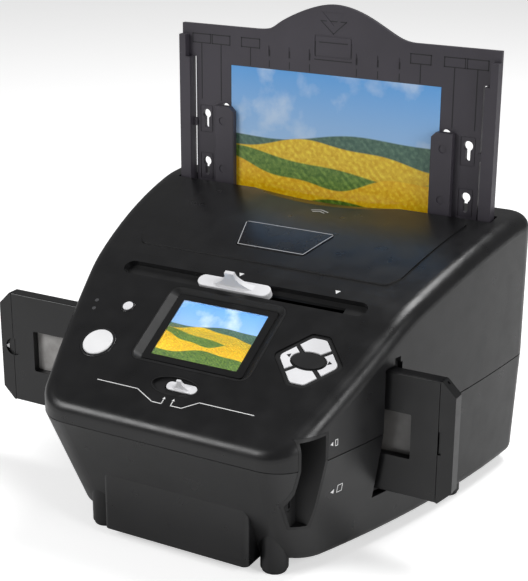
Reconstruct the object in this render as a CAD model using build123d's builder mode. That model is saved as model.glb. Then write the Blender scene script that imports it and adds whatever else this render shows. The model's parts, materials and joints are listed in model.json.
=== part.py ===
from build123d import *
from math import cos, hypot, radians, sin, tan
import os

# Desktop scanner for prints and 35 mm film. Millimetres, +Z up, the front faces -Y.
# The origin is on the surface the scanner stands on, under the middle of the housing.

os.makedirs("parts", exist_ok=True)

# ---------------------------------------------------------------- driving sizes
# housing plan, taken at the seam between the two shells
FRONT_Y = -105.0
REAR_Y = 105.0
MID_Y = 27.0
FRONT_HALF = 69.5
MID_HALF = 102.5
REAR_HALF = 112.0
FRONT_CORNER_R = 21.0
REAR_CORNER_R = 14.0
WALL = 2.5
SEAM_Z = 66.0
SEAM_REVEAL = 0.6

# housing side profile
LIP_Z = 74.6
SLOPE = 29.7
BREAK_Y = -21.7
CROWN_Y = 78.0
CROWN_Z = 145.0
DECK_BULGE = 3.2
DECK_BLEND_R = 90.0
SHOULDER_R = 8.0

# lower shell, where it meets its floor
FLOOR_Z = 6.5
FLOOR_FRONT_Y = -78.0
FLOOR_REAR_Y = 102.0
FLOOR_FRONT_HALF = 64.0
FLOOR_MID_HALF = 98.5
FLOOR_REAR_HALF = 110.0
FLOOR_FRONT_R = 22.0
FLOOR_REAR_R = 13.0
FLOOR_EDGE_R = 5.0
TONGUE_T = 1.1
TONGUE_H = 2.2
FIT = 0.15

# plinth, legs and feet
PLINTH_HALF = 41.6
PLINTH_FRONT_Y = -91.0
PLINTH_DEPTH = 34.0
PLINTH_Z = 4.6
LEG_R = 7.0
LEG_Z = 2.0
LEG_H = 24.0
FRONT_LEG = (49.5, -77.5)
REAR_LEG = (91.5, 40.0)
PAD_R = 6.2
PAD_STUD_R = 2.0
PAD_STUD_H = 4.0
VENTS = 8
VENT_LEN = 30.0
VENT_W = 3.0
VENT_PITCH = 9.0

# case screws
BOSS_R = 4.0
SCREW_R = 1.5
SCREW_HEAD_R = 2.8
SCREW_HEAD_H = 1.8
SCREW_DEEP = 40.0
SCREW_GRIP = 14.0
BOSS_FRONT = (80.0, -8.0)
BOSS_REAR = (84.0, 92.0)

# raised deck and the bare plate on it
DECK_RAISE = 0.8
DECK_FRONT = (72.0, -5.0)
DECK_CORNER = (77.0, 3.0)
DECK_REAR = (87.0, 66.0)
PLATE_FRONT = (20.0, 6.0)
PLATE_REAR = (27.5, 30.0)
PLATE_PROUD = 0.4
PLATE_SUNK = 0.8

# control panel, measured on its slope from the panel origin
PANEL_Y = -56.0
LCD_AT = (-2.5, 5.0)
LCD_W = 49.0
LCD_H = 36.7
BEZEL_W = 58.0
BEZEL_H = 44.0
SURROUND_W = 68.0
SURROUND_H = 50.0
SURROUND_R = 6.0
SURROUND_DROP = 2.8
SURROUND_T = 4.4
SURROUND_LIP = 0.8
BEZEL_T = 0.8
WINDOW_T = 1.0
MODULE_W = 56.0
MODULE_H = 43.0
BOARD_DEPTH = 8.0
BOARD_T = 1.6
BOARD_HALF = 76.0
BOARD_LOW_S = -25.0
BOARD_HIGH_S = 24.0
BOARD_POST_R = 2.2
BOARD_POSTS = ((-42.0, -21.5), (38.0, -21.5), (-66.0, 20.0), (66.0, 20.5))
BOARD_SCREW_R = 0.9
BOARD_SCREW_HEAD_R = 1.8
BOARD_SCREW_LEN = 4.0
SCAN_AT = (-57.2, -15.0)
SCAN_R = 8.0
SCAN_RING_W = 1.3
SCAN_PROUD = 0.9
POWER_AT = (-53.8, 11.0)
POWER_R = 2.8
POWER_RING_W = 0.9
POWER_PROUD = 0.5
RING_T = 3.0
RING_PROUD = 0.3
RING_LIP = 0.9
BUTTON_PLAY = 0.25
BUTTON_TRAVEL = 0.8
FLANGE_T = 0.8
FLANGE_W = 0.7
FLANGE_GAP = 0.2
PLUNGER_R = 1.2
PLUNGER_H = 0.2
DOME_R = 1.6
DOME_H = 0.8
DOME_GAP = 0.05
SWITCH_BASE = 4.6
LAMP_AT = ((-73.0, 10.7), (-71.7, 5.3))
LAMP_R = 1.1
KEYPAD_AT = (55.0, 0.5)
KEYPAD_HALF_W = 18.8
KEYPAD_HALF_H = 16.3
KEYPAD_CORNER_R = 6.0
KEYPAD_DROP = 0.8
KEYPAD_T = 2.2
KEYPAD_LIP = 1.1
KEY_RIM = 2.2
KEY_GAP = 1.1
KEY_PROUD = 0.5
HUB_W = 8.6
HUB_H = 4.6
KEY_X = 12.2
KEY_S = 9.4

# mode switch in its oval dish
SWITCH_AT = (-3.0, -30.5)
DISH_W = 27.0
DISH_H = 11.8
DISH_T = 3.0
DISH_DROP = 1.5
DISH_RIM = 0.7
LEVER_OFF = 3.5
LEVER_W = 17.0
LEVER_H = 5.6
LEVER_T = 1.0
LEVER_TRAVEL = 7.0
LEVER_TAB_W = 9.0
LEVER_TAB_H = 2.8
LEVER_STEM_W = 4.0
LEVER_STEM_T = 2.0
LEVER_FOOT_T = 0.8

# long slot with the slider that swings the film light in and out
SLOT_S = 37.0
SLOT_HALF = 70.5
SLOT_W = 9.4
SLIDER_X = -4.0
SLIDER_LEN = 42.0
SLIDER_W = 7.4
SLIDER_TRAVEL = 52.0
SLIDER_TAB_W = 24.0
SLIDER_TAB_H = 7.5
SLIDER_PROUD = 0.5
SLIDER_T = 3.4
STEM_T = 4.0
STEM_Y = -23.0
STEM_LEN = 18.0
STEM_PLAY = 0.5
TRACK_RIM = 1.4
TRACK_BOTTOM = 5.0
TRACK_FLOOR = 1.2

# film holder, standing across the housing
HOLDER_X = -12.0
HOLDER_LEN = 270.0
HOLDER_Y = -36.0
HOLDER_T = 7.0
HOLDER_Z = 33.5
HOLDER_H = 63.5
LID_T = 4.2
END_STRIP = 8.0
LID_GAP = 0.3
FRAMES = 6
FRAME_PITCH = 38.0
FRAME_W = 35.5
FRAME_H = 23.5
FILM_W = 35.0
FILM_T = 0.25
HOLDER_CUT = 7.0
HINGE_R = 1.5
HINGE_PIN_R = 0.8
HINGE_LEN = 15.0
HINGE_AT = 75.0
THUMB_R = 5.0
FILM_SPARE = 3.0

# film sleeve inside the housing
SLEEVE_PLAY = 0.4
SLEEVE_WALL = 1.6
SLEEVE_HALF = 84.0
GATE_W = 40.0
GATE_H = 28.0
ENTRY_FRONT = 4.0
ENTRY_REAR = 1.6
ENTRY_ABOVE = 3.0
ENTRY_BELOW = 3.4
COLLAR_REST = 2.0
WEB_AT = 70.0
WEB_T = 3.0
LUG_AT = 80.0
LUG_W = 4.0
LUG_H = 10.0
ROD_R = 2.0
ROD_Y = -19.0
ROD_Z = 103.0
ROD_PLAY = 0.05
CARRIAGE_HALF = 23.0
CARRIAGE_W = 12.0
CARRIAGE_T = 4.0
CARRIAGE_LOW = 48.0
RAIL_GAP = 0.3
LIGHT_W = 40.0
LIGHT_H = 28.0
LIGHT_T = 3.0

# print tray and what it carries
TRAY_Y = 77.0
TRAY_HALF = 95.7
TRAY_T = 2.6
TRAY_BOTTOM = 115.0
TRAY_SHOULDER = 233.5
TRAY_CREST = 250.0
TRAY_CORNER_R = 6.0
RAIL_W = 6.8
RAIL_FORWARD = 4.0
RAIL_TOP = 215.0
SLIT_W = 2.0
SLIT_X = 87.8
SLIT_LOW = 125.0
CATCH_Z = 177.0
CREST_HALF = 48.0
MARK_Z = 222.0
MARK_TICKS = (14.2, 26.7, 39.3)
MARK_STRIP_W = 8.5
MARK_DEEP = 0.3
LEDGE_Z = 119.0
LEDGE_H = 4.0
LEDGE_DEEP = 3.0
LEDGE_HALF = 88.0
PRINT_W = 127.0
PRINT_H = 89.0
PRINT_T = 0.3
KEYHOLE_LEN = 11.0
KEYHOLE_R = 2.6
KEYHOLE_NECK = 2.6
COLUMNS = (48.3, 67.4, 80.1)
GUIDED_COLUMN = 1
KEYHOLE_TOPS = (185.0, 157.0)
GUIDED_LIFT = 4.8
GUIDE_W = 12.3
GUIDE_LIP = 3.4
GUIDE_T = 4.1
GUIDE_TOP = 188.6
GUIDE_TRAVEL = 7.0
STUD_R = 1.2
STUD_HEAD_R = 2.3
STUD_HEAD_T = 1.2
TRAY_SLOT_PLAY = 1.2
CHANNEL_WALL = 2.0
CHANNEL_DEEP = 5.0
CHANNEL_PLAY = 0.5
SCOOP_R = 360.0
SCOOP_TILT = 9.5
SCOOP_DEEP = 3.6
SCOOP_LEN = 60.0

# ports on the right front corner
PORT_Y = -86.5
PORT_HALF = 6.2
PORT_TOP = 79.0
PORT_BOTTOM = 30.0
PORT_X = 62.0
LINER_WALL = 1.5
PORT_PLAY = 0.1
USB_W = 9.0
USB_H = 4.4
USB_Z = 71.5
CARD_H = 22.0
CARD_W = 3.6
CARD_Z = 50.5
SOCKET_DEEP = 16.0
SOCKET_WALL = 0.5

# imaging parts
LENS_R = 9.0
LENS_LEN = 14.0
CAMERA_W = 28.0
CAMERA_Y = -74.0
CAMERA_DEEP = 14.0
BRACKET_T = 1.5
LIGHT_BAR_X = 78.0
LIGHT_BAR_Y = 14.0
LIGHT_BAR_W = 12.0
LIGHT_BAR_TOP = 104.0
MAIN_BOARD = (112.0, 62.0)
MAIN_BOARD_Y = 28.0
POST_H = 6.0

# ---------------------------------------------------------------- derived places
slope_tan = tan(radians(SLOPE))
break_z = LIP_Z + (BREAK_Y - FRONT_Y) * slope_tan
panel_z = LIP_Z + (PANEL_Y - FRONT_Y) * slope_tan
panel = Plane(
    origin=(0, PANEL_Y, panel_z),
    x_dir=(1, 0, 0),
    z_dir=(0, -sin(radians(SLOPE)), cos(radians(SLOPE))),
)
reach = 2 * REAR_HALF
end_wall_y = min(-FRONT_Y, REAR_Y) - 1.0
floor_top = FLOOR_Z + WALL
film_z = HOLDER_Z + HOLDER_H / 2
holder_back = HOLDER_Y + HOLDER_T
lid_back = HOLDER_Y + LID_T
tray_back = TRAY_Y + TRAY_T
print_bottom = LEDGE_Z + LEDGE_H
slot_front_y = TRAY_Y - GUIDE_T - TRAY_SLOT_PLAY
slot_rear_y = tray_back + STUD_HEAD_T + TRAY_SLOT_PLAY
sleeve_front = HOLDER_Y - SLEEVE_PLAY - SLEEVE_WALL
sleeve_rear = holder_back + SLEEVE_PLAY + SLEEVE_WALL
sleeve_low = HOLDER_Z - SLEEVE_PLAY - SLEEVE_WALL
sleeve_high = HOLDER_Z + HOLDER_H + SLEEVE_PLAY + SLEEVE_WALL
entry_low_y = HOLDER_Y - ENTRY_FRONT
entry_high_y = holder_back + ENTRY_REAR
entry_low_z = HOLDER_Z - ENTRY_BELOW
entry_high_z = HOLDER_Z + HOLDER_H + ENTRY_ABOVE
flange_depth = RING_T + FLANGE_GAP
plunger_end = flange_depth + FLANGE_T + PLUNGER_H
dome_top = plunger_end + BUTTON_TRAVEL + DOME_GAP
module_top = SURROUND_DROP + WINDOW_T - BEZEL_T
KEYS = {"up": (0, KEY_S), "down": (0, -KEY_S), "left": (-KEY_X, 0), "right": (KEY_X, 0)}
stem_top = panel_z + (STEM_Y - PANEL_Y) * slope_tan - SLIDER_T / 2
film_half = (FRAMES * FRAME_PITCH) / 2 + FILM_SPARE
crest_rise = TRAY_CREST - TRAY_SHOULDER
channel_front = TRAY_Y - RAIL_FORWARD - CHANNEL_PLAY
channel_rear = tray_back + CHANNEL_PLAY
board_places = [
    (i * (MAIN_BOARD[0] / 2 - BOSS_R), MAIN_BOARD_Y + j * (MAIN_BOARD[1] / 2 - BOSS_R))
    for i in (-1, 1)
    for j in (-1, 1)
]
guided_x = COLUMNS[GUIDED_COLUMN]
seat_top = floor_top + POST_H
STANDING = (Align.CENTER, Align.CENTER, Align.MIN)
panel_axis = Axis((0, PANEL_Y, panel_z), (0, -sin(radians(SLOPE)), cos(radians(SLOPE))))
leg_places = [(side * x, y) for side in (-1, 1) for x, y in (FRONT_LEG, REAR_LEG)]
boss_places = [(side * x, y) for side in (-1, 1) for x, y in (BOSS_FRONT, BOSS_REAR)]


def block(low, high, mode=Mode.ADD):
    """Box between two opposite corners."""
    with Locations(tuple((a + b) / 2 for a, b in zip(low, high))):
        Box(*(abs(b - a) for a, b in zip(low, high)), mode=mode)


def pillar(x, y, low, high, radius, mode=Mode.ADD):
    """Upright round bar from low to high."""
    with Locations((x, y, low)):
        Cylinder(radius, high - low, align=STANDING, mode=mode)


def crossbar(x_low, x_high, y, z, radius, mode=Mode.ADD):
    """Round bar along X."""
    with Locations(((x_low + x_high) / 2, y, z)):
        Cylinder(radius, abs(x_high - x_low), rotation=(0, 90, 0), mode=mode)


def finish(piece, name):
    """Name a finished piece and write it out."""
    piece.part.label = name
    export_step(piece.part, f"parts/{name}.step")


def housing_outline(front_y, rear_y, front_half, mid_half, rear_half, front_r, rear_r):
    """Draw the housing's plan: narrow in front, wide behind, with bowed sides."""
    with BuildLine() as outline:
        front = Line((-front_half, front_y), (front_half, front_y))
        right = ThreePointArc(front @ 1, (mid_half, MID_Y), (rear_half, rear_y))
        rear = Line(right @ 1, (-rear_half, rear_y))
        ThreePointArc(rear @ 1, (-mid_half, MID_Y), front @ 0)
    make_face(outline.edges())
    fillet(vertices().group_by(Axis.Y)[0], front_r)
    fillet(vertices().group_by(Axis.Y)[-1], rear_r)


def seam_outline(inset=0.0):
    """Draw the plan at the seam, drawn in by inset on every side."""
    housing_outline(
        FRONT_Y, REAR_Y, FRONT_HALF, MID_HALF, REAR_HALF, FRONT_CORNER_R, REAR_CORNER_R
    )
    if inset:
        offset(amount=-inset, mode=Mode.REPLACE)


def floor_outline(inset=0.0):
    """Draw the plan at the floor of the lower shell."""
    housing_outline(
        FLOOR_FRONT_Y,
        FLOOR_REAR_Y,
        FLOOR_FRONT_HALF,
        FLOOR_MID_HALF,
        FLOOR_REAR_HALF,
        FLOOR_FRONT_R,
        FLOOR_REAR_R,
    )
    if inset:
        offset(amount=-inset, mode=Mode.REPLACE)


def side_profile(lift=0.0):
    """Draw the side profile: control slope, bowed deck and level crown, raised by lift."""
    chord_y = (BREAK_Y + CROWN_Y) / 2
    chord_z = (break_z + CROWN_Z) / 2 + DECK_BULGE
    with BuildLine() as outline:
        Line((FRONT_Y - 20, 0), (FRONT_Y - 20, LIP_Z + lift - 20 * slope_tan))
        Line((FRONT_Y - 20, LIP_Z + lift - 20 * slope_tan), (BREAK_Y, break_z + lift))
        ThreePointArc((BREAK_Y, break_z + lift), (chord_y, chord_z + lift), (CROWN_Y, CROWN_Z + lift))
        Line((CROWN_Y, CROWN_Z + lift), (REAR_Y + 20, CROWN_Z + lift))
        Line((REAR_Y + 20, CROWN_Z + lift), (REAR_Y + 20, 0))
        Line((REAR_Y + 20, 0), (FRONT_Y - 20, 0))
    make_face(outline.edges())
    fillet(vertices().sort_by_distance((BREAK_Y, break_z + lift))[0], DECK_BLEND_R)
    fillet(vertices().sort_by_distance((CROWN_Y, CROWN_Z + lift))[0], DECK_BLEND_R)


def upper_form(inset, shoulder):
    """Solid form of the upper housing, drawn in by inset, with a rounded shoulder."""
    with BuildPart() as form:
        with BuildSketch(Plane.XY.offset(SEAM_Z)):
            seam_outline(inset)
        extrude(amount=CROWN_Z)
        with BuildSketch(Plane.YZ):
            side_profile(-inset / cos(radians(SLOPE)))
        extrude(amount=reach, both=True, mode=Mode.INTERSECT)
        inner = end_wall_y - inset
        rim = [
            edge
            for edge in form.edges()
            if edge.center().Z > SEAM_Z + 1
            and abs(edge.tangent_at(0.5).Z) < 0.99
            and not (abs(edge.tangent_at(0.5).X) > 0.999 and abs(edge.center().Y) < inner)
        ]
        fillet(rim, shoulder)
    return form.part



def lower_form(inset, edge_r):
    """Solid form of the lower housing, tapering down to the floor."""
    with BuildPart() as form:
        with BuildSketch(Plane.XY.offset(SEAM_Z)):
            seam_outline(inset)
        with BuildSketch(Plane.XY.offset(FLOOR_Z + inset)):
            floor_outline(inset)
        loft(ruled=True)
        fillet(form.faces().sort_by(Axis.Z)[0].edges(), edge_r)
    return form.part


def between(low, high):
    """Slab that follows the side profile, from low to high above it."""
    with BuildPart() as slab:
        with BuildSketch(Plane.YZ):
            side_profile(high)
        extrude(amount=reach, both=True)
        with BuildSketch(Plane.YZ):
            side_profile(low)
        extrude(amount=reach, both=True, mode=Mode.SUBTRACT)
    return slab.part


def deck_outline(inset=0.0):
    """Draw the plan of the raised deck, wider towards the rear."""
    with BuildLine() as outline:
        Polyline(
            (-DECK_FRONT[0], DECK_FRONT[1]),
            (DECK_FRONT[0], DECK_FRONT[1]),
            DECK_CORNER,
            DECK_REAR,
            (-DECK_REAR[0], DECK_REAR[1]),
            (-DECK_CORNER[0], DECK_CORNER[1]),
            close=True,
        )
    make_face(outline.edges())
    fillet(vertices(), 3.0)
    if inset:
        offset(amount=-inset, mode=Mode.REPLACE)


def plate_outline(grow=0.0):
    """Draw the plan of the bare plate on the deck."""
    with BuildLine() as outline:
        Polyline(
            (-PLATE_FRONT[0], PLATE_FRONT[1]),
            (PLATE_FRONT[0], PLATE_FRONT[1]),
            PLATE_REAR,
            (-PLATE_REAR[0], PLATE_REAR[1]),
            close=True,
        )
    make_face(outline.edges())
    fillet(vertices(), 3.0)
    if grow:
        offset(amount=grow, mode=Mode.REPLACE)


def keypad_outline(grow=0.0):
    """Draw the rounded diamond of the keypad, let out by grow on every side."""
    flat = KEYPAD_HALF_W / 4
    slant = hypot(KEYPAD_HALF_H, KEYPAD_HALF_W - flat)
    wide = KEYPAD_HALF_W + grow * slant / KEYPAD_HALF_H
    high = KEYPAD_HALF_H + grow
    flat += grow * (slant - KEYPAD_HALF_W + flat) / KEYPAD_HALF_H
    with Locations(KEYPAD_AT):
        Polygon((-wide, 0), (-flat, -high), (flat, -high), (wide, 0), (flat, high), (-flat, high))
    fillet(vertices(), KEYPAD_CORNER_R / 2)


def key_outline(direction, grow=0.0):
    """Draw one of the four keys: a quarter of the diamond outside the hub."""
    keypad_outline(grow - KEY_RIM)
    far = 3 * KEYPAD_HALF_W
    rise = far * KEYPAD_HALF_H / KEYPAD_HALF_W
    gap = KEY_GAP - grow
    across = gap * hypot(far, rise) / rise
    along = gap * hypot(far, rise) / far
    wedges = {
        "right": ((across, 0), (across + far, -rise), (across + far, rise)),
        "up": ((0, along), (far, along + rise), (-far, along + rise)),
        "left": ((-across, 0), (-across - far, rise), (-across - far, -rise)),
        "down": ((0, -along), (-far, -along - rise), (far, -along - rise)),
    }
    with Locations(KEYPAD_AT):
        Polygon(*wedges[direction], align=None, mode=Mode.INTERSECT)
        Ellipse(HUB_W + gap, HUB_H + gap, mode=Mode.SUBTRACT)


def port_outline(grow=0.0):
    """Draw the plan of the port pocket, flared on its front side."""
    with BuildLine() as outline:
        Polyline(
            (PORT_X, PORT_Y - PORT_HALF),
            (PORT_X + 6, PORT_Y - PORT_HALF),
            (PORT_X + 26, PORT_Y - PORT_HALF - 10),
            (PORT_X + 40, PORT_Y + PORT_HALF),
            (PORT_X, PORT_Y + PORT_HALF),
            close=True,
        )
    make_face(outline.edges())
    if grow:
        offset(amount=grow, kind=Kind.INTERSECTION, mode=Mode.REPLACE)


def scoop_form(drop):
    """Large round bar whose lowest line runs down to the tray slot, lowered by drop."""
    low_point = (0, slot_front_y, CROWN_Z - SCOOP_DEEP - drop)
    rise = (SCOOP_R * sin(radians(SCOOP_TILT)), SCOOP_R * cos(radians(SCOOP_TILT)))
    cross = Plane(
        origin=(0, low_point[1] + rise[0], low_point[2] + rise[1]),
        x_dir=(1, 0, 0),
        z_dir=(0, cos(radians(SCOOP_TILT)), -sin(radians(SCOOP_TILT))),
    )
    with BuildPart() as bar:
        with BuildSketch(cross.offset(-SCOOP_LEN)):
            Circle(SCOOP_R)
        extrude(amount=SCOOP_LEN + WALL)
    return bar.part


# ---------------------------------------------------------------- shared forms
outer_upper = upper_form(0.0, SHOULDER_R)
inner_upper = upper_form(WALL, SHOULDER_R - WALL)
outer_lower = lower_form(0.0, FLOOR_EDGE_R)
inner_lower = lower_form(WALL, FLOOR_EDGE_R - WALL / 2)

with BuildPart() as inner_hull:
    add(inner_upper)
    add(inner_lower)
with BuildPart() as outer_hull:
    add(outer_upper)
    add(outer_lower)

# way for the film holder, straight through both sides, with a notch above it
with BuildPart() as film_passage:
    block((-reach, entry_low_y, entry_low_z), (reach, entry_high_y, entry_high_z))
    block((-reach, entry_high_y - 6.0, entry_low_z), (reach, entry_high_y - 1.4, entry_high_z + 3.0))

# pocket for the ports at the right front corner
with BuildPart() as port_pocket:
    with BuildSketch(Plane.XY.offset(PORT_BOTTOM)):
        port_outline()
    extrude(amount=PORT_TOP - PORT_BOTTOM)
with BuildPart() as port_hole:
    with BuildSketch(Plane.XY.offset(PORT_BOTTOM - LINER_WALL - PORT_PLAY)):
        port_outline(LINER_WALL + PORT_PLAY)
    extrude(amount=PORT_TOP - PORT_BOTTOM + 2 * (LINER_WALL + PORT_PLAY))

# ---------------------------------------------------------------- upper shell
with BuildPart() as roof_bosses:
    for x, y in boss_places:
        pillar(x, y, SEAM_Z, SEAM_Z + CROWN_Z, BOSS_R)
    add(outer_upper, mode=Mode.INTERSECT)

with BuildPart() as deck_skin:
    with BuildSketch(Plane.XY.offset(break_z - 10)):
        deck_outline()
    extrude(amount=CROWN_Z)
    add(between(-WALL / 2, DECK_RAISE), mode=Mode.INTERSECT)

with BuildPart() as plate_bed:
    with BuildSketch(Plane.XY.offset(break_z - 10)):
        plate_outline(FIT)
    extrude(amount=CROWN_Z)
    add(between(DECK_RAISE - PLATE_SUNK, CROWN_Z), mode=Mode.INTERSECT)

# a large round bar laid into the deck makes the finger scoop, deeper towards the tray
scoop = scoop_form(0.0)
with BuildPart() as scoop_bed:
    add(scoop_form(WALL))
    add(outer_upper, mode=Mode.INTERSECT)

with BuildPart() as upper_shell:
    add(outer_upper)
    add(inner_upper, mode=Mode.SUBTRACT)
    add(deck_skin.part)
    add(scoop_bed.part)
    add(roof_bosses.part)
    for x, y in boss_places:
        pillar(x, y, SEAM_Z, SEAM_Z + SCREW_GRIP, SCREW_R, mode=Mode.SUBTRACT)
    # posts that carry the button board
    with BuildSketch(panel.offset(-WALL / 2)):
        with Locations(*BOARD_POSTS):
            Circle(BOARD_POST_R)
    extrude(amount=-(BOARD_DEPTH - WALL / 2))
    with BuildSketch(panel.offset(-BOARD_DEPTH)):
        with Locations(*BOARD_POSTS):
            Circle(BOARD_SCREW_R)
    extrude(amount=BOARD_SCREW_LEN, mode=Mode.SUBTRACT)
    # openings of the control panel
    with BuildSketch(panel):
        with Locations(LCD_AT):
            RectangleRounded(SURROUND_W + 2 * FIT, SURROUND_H + 2 * FIT, SURROUND_R + FIT)
        with Locations(SCAN_AT):
            Circle(SCAN_R + BUTTON_PLAY + SCAN_RING_W + FIT)
        with Locations(POWER_AT):
            Circle(POWER_R + BUTTON_PLAY + POWER_RING_W + FIT)
        with Locations(*LAMP_AT):
            Circle(LAMP_R + FIT)
        with Locations(SWITCH_AT):
            Ellipse(DISH_W / 2 + FIT, DISH_H / 2 + FIT)
        with Locations((0, SLOT_S)):
            SlotOverall(2 * SLOT_HALF, SLOT_W)
    extrude(amount=-1.6 * WALL, mode=Mode.SUBTRACT)
    with BuildSketch(panel):
        keypad_outline(FIT)
    extrude(amount=-1.6 * WALL, mode=Mode.SUBTRACT)
    add(plate_bed.part, mode=Mode.SUBTRACT)
    add(film_passage.part, mode=Mode.SUBTRACT)
    add(port_hole.part, mode=Mode.SUBTRACT)
    # slot for the print tray
    with BuildSketch(Plane.XY.offset(SEAM_Z + SHOULDER_R)):
        with Locations((0, (slot_front_y + slot_rear_y) / 2)):
            RectangleRounded(2 * (TRAY_HALF + TRAY_SLOT_PLAY), slot_rear_y - slot_front_y, 1.0)
    extrude(amount=CROWN_Z, mode=Mode.SUBTRACT)
    add(scoop, mode=Mode.SUBTRACT)
    # rebate that takes the tongue of the lower shell
    with BuildSketch(Plane.XY.offset(SEAM_Z)):
        seam_outline(WALL - TONGUE_T - FIT)
        with BuildSketch(mode=Mode.PRIVATE) as inside:
            seam_outline(WALL)
        add(inside.sketch, mode=Mode.SUBTRACT)
    extrude(amount=TONGUE_H + FIT, mode=Mode.SUBTRACT)
finish(upper_shell, "upper_shell")

with BuildPart() as trim_plate:
    with BuildSketch(Plane.XY.offset(break_z - 10)):
        plate_outline()
    extrude(amount=CROWN_Z)
    add(between(DECK_RAISE - PLATE_SUNK, DECK_RAISE + PLATE_PROUD), mode=Mode.INTERSECT)
finish(trim_plate, "trim_plate")

# ---------------------------------------------------------------- lower shell
with BuildPart() as floor_bosses:
    for x, y in boss_places:
        pillar(x, y, FLOOR_Z, SEAM_Z, BOSS_R)
    add(outer_lower, mode=Mode.INTERSECT)

with BuildPart() as tongue:
    with BuildSketch(Plane.XY.offset(SEAM_Z - WALL / 2)):
        seam_outline(WALL - TONGUE_T)
        with BuildSketch(mode=Mode.PRIVATE) as inside:
            seam_outline(WALL)
        add(inside.sketch, mode=Mode.SUBTRACT)
    extrude(amount=WALL / 2 + TONGUE_H)

with BuildPart() as reveal:
    with BuildSketch(Plane.XY.offset(SEAM_Z - SEAM_REVEAL)):
        seam_outline(-SEAM_REVEAL)
        with BuildSketch(mode=Mode.PRIVATE) as inside:
            seam_outline(SEAM_REVEAL)
        add(inside.sketch, mode=Mode.SUBTRACT)
    extrude(amount=SEAM_REVEAL)

with BuildPart() as lower_shell:
    add(outer_lower)
    for x, y in leg_places:
        pillar(x, y, LEG_Z, LEG_Z + LEG_H, LEG_R)
    add(inner_lower, mode=Mode.SUBTRACT)
    add(floor_bosses.part)
    add(tongue.part)
    for x, y in board_places:
        pillar(x, y, floor_top - WALL / 2, seat_top, BOSS_R)
        pillar(x, y, seat_top - BOARD_SCREW_LEN, seat_top, BOARD_SCREW_R, mode=Mode.SUBTRACT)
    add(reveal.part, mode=Mode.SUBTRACT)
    add(film_passage.part, mode=Mode.SUBTRACT)
    add(port_hole.part, mode=Mode.SUBTRACT)
    for x, y in boss_places:
        pillar(x, y, 0, SCREW_DEEP, SCREW_HEAD_R + FIT, mode=Mode.SUBTRACT)
        pillar(x, y, 0, SEAM_Z, SCREW_R + FIT, mode=Mode.SUBTRACT)
    for x, y in leg_places:
        pillar(x, y, 0, LEG_Z + PAD_STUD_H, PAD_STUD_R, mode=Mode.SUBTRACT)
    # vents in the floor
    with BuildSketch(Plane.XY):
        with GridLocations(VENT_PITCH, 1, VENTS, 1):
            SlotOverall(VENT_LEN, VENT_W, rotation=90)
    extrude(amount=floor_top, mode=Mode.SUBTRACT)
finish(lower_shell, "lower_shell")

with BuildPart() as front_plinth:
    block(
        (-PLINTH_HALF, PLINTH_FRONT_Y, PLINTH_Z),
        (PLINTH_HALF, PLINTH_FRONT_Y + PLINTH_DEPTH, SEAM_Z - WALL),
    )
    fillet(front_plinth.edges().filter_by(Axis.Z).group_by(Axis.Y)[0], 3.0)
    add(outer_lower, mode=Mode.SUBTRACT)
finish(front_plinth, "front_plinth")

for (x, y), name in zip(leg_places, ("front_left", "rear_left", "front_right", "rear_right")):
    with BuildPart() as foot:
        pillar(x, y, 0, LEG_Z, PAD_R)
        fillet(foot.edges().sort_by(Axis.Z)[0], 0.5)
        pillar(x, y, LEG_Z, LEG_Z + PAD_STUD_H, PAD_STUD_R)
    finish(foot, f"foot_{name}")

# four long screws come up from the floor into the roof bosses
with BuildPart() as case_screws:
    for x, y in boss_places:
        pillar(x, y, SCREW_DEEP - SCREW_HEAD_H, SCREW_DEEP, SCREW_HEAD_R)
        pillar(x, y, SCREW_DEEP, SEAM_Z + SCREW_GRIP, SCREW_R)
        with Locations((x, y, SCREW_DEEP - SCREW_HEAD_H)):
            Box(SCREW_HEAD_R * 1.2, 0.6, 0.8, align=STANDING, mode=Mode.SUBTRACT)
            Box(0.6, SCREW_HEAD_R * 1.2, 0.8, align=STANDING, mode=Mode.SUBTRACT)
finish(case_screws, "case_screws")

# ---------------------------------------------------------------- control panel
with BuildPart() as lcd_surround:
    with BuildSketch(panel):
        with Locations(LCD_AT):
            RectangleRounded(SURROUND_W, SURROUND_H, SURROUND_R)
    extrude(amount=-SURROUND_T)
    with BuildSketch(panel.offset(-WALL - FIT)):
        with Locations(LCD_AT):
            RectangleRounded(SURROUND_W + 2 * SURROUND_LIP, SURROUND_H + 2 * SURROUND_LIP, SURROUND_R)
    extrude(amount=-(SURROUND_T - WALL - FIT))
    # bevelled well down to the bezel
    with BuildSketch(panel):
        with Locations(LCD_AT):
            RectangleRounded(SURROUND_W - 2.0, SURROUND_H - 2.0, SURROUND_R - 1.0)
    with BuildSketch(panel.offset(-SURROUND_DROP)):
        with Locations(LCD_AT):
            RectangleRounded(BEZEL_W, BEZEL_H, 2.0)
    loft(mode=Mode.SUBTRACT)
    with BuildSketch(panel):
        with Locations(LCD_AT):
            Rectangle(LCD_W + 1.0, LCD_H + 1.0)
    extrude(amount=-SURROUND_T, mode=Mode.SUBTRACT)
finish(lcd_surround, "lcd_surround")

with BuildPart() as lcd_bezel:
    with BuildSketch(panel.offset(BEZEL_T - SURROUND_DROP)):
        with Locations(LCD_AT):
            RectangleRounded(BEZEL_W - 0.4, BEZEL_H - 0.4, 1.8)
            Rectangle(LCD_W, LCD_H, mode=Mode.SUBTRACT)
    extrude(amount=-BEZEL_T)
finish(lcd_bezel, "lcd_bezel")

with BuildPart() as lcd_window:
    with BuildSketch(panel.offset(BEZEL_T - SURROUND_DROP)):
        with Locations(LCD_AT):
            Rectangle(LCD_W - 0.3, LCD_H - 0.3)
    extrude(amount=-WINDOW_T)
finish(lcd_window, "lcd_window")

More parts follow.
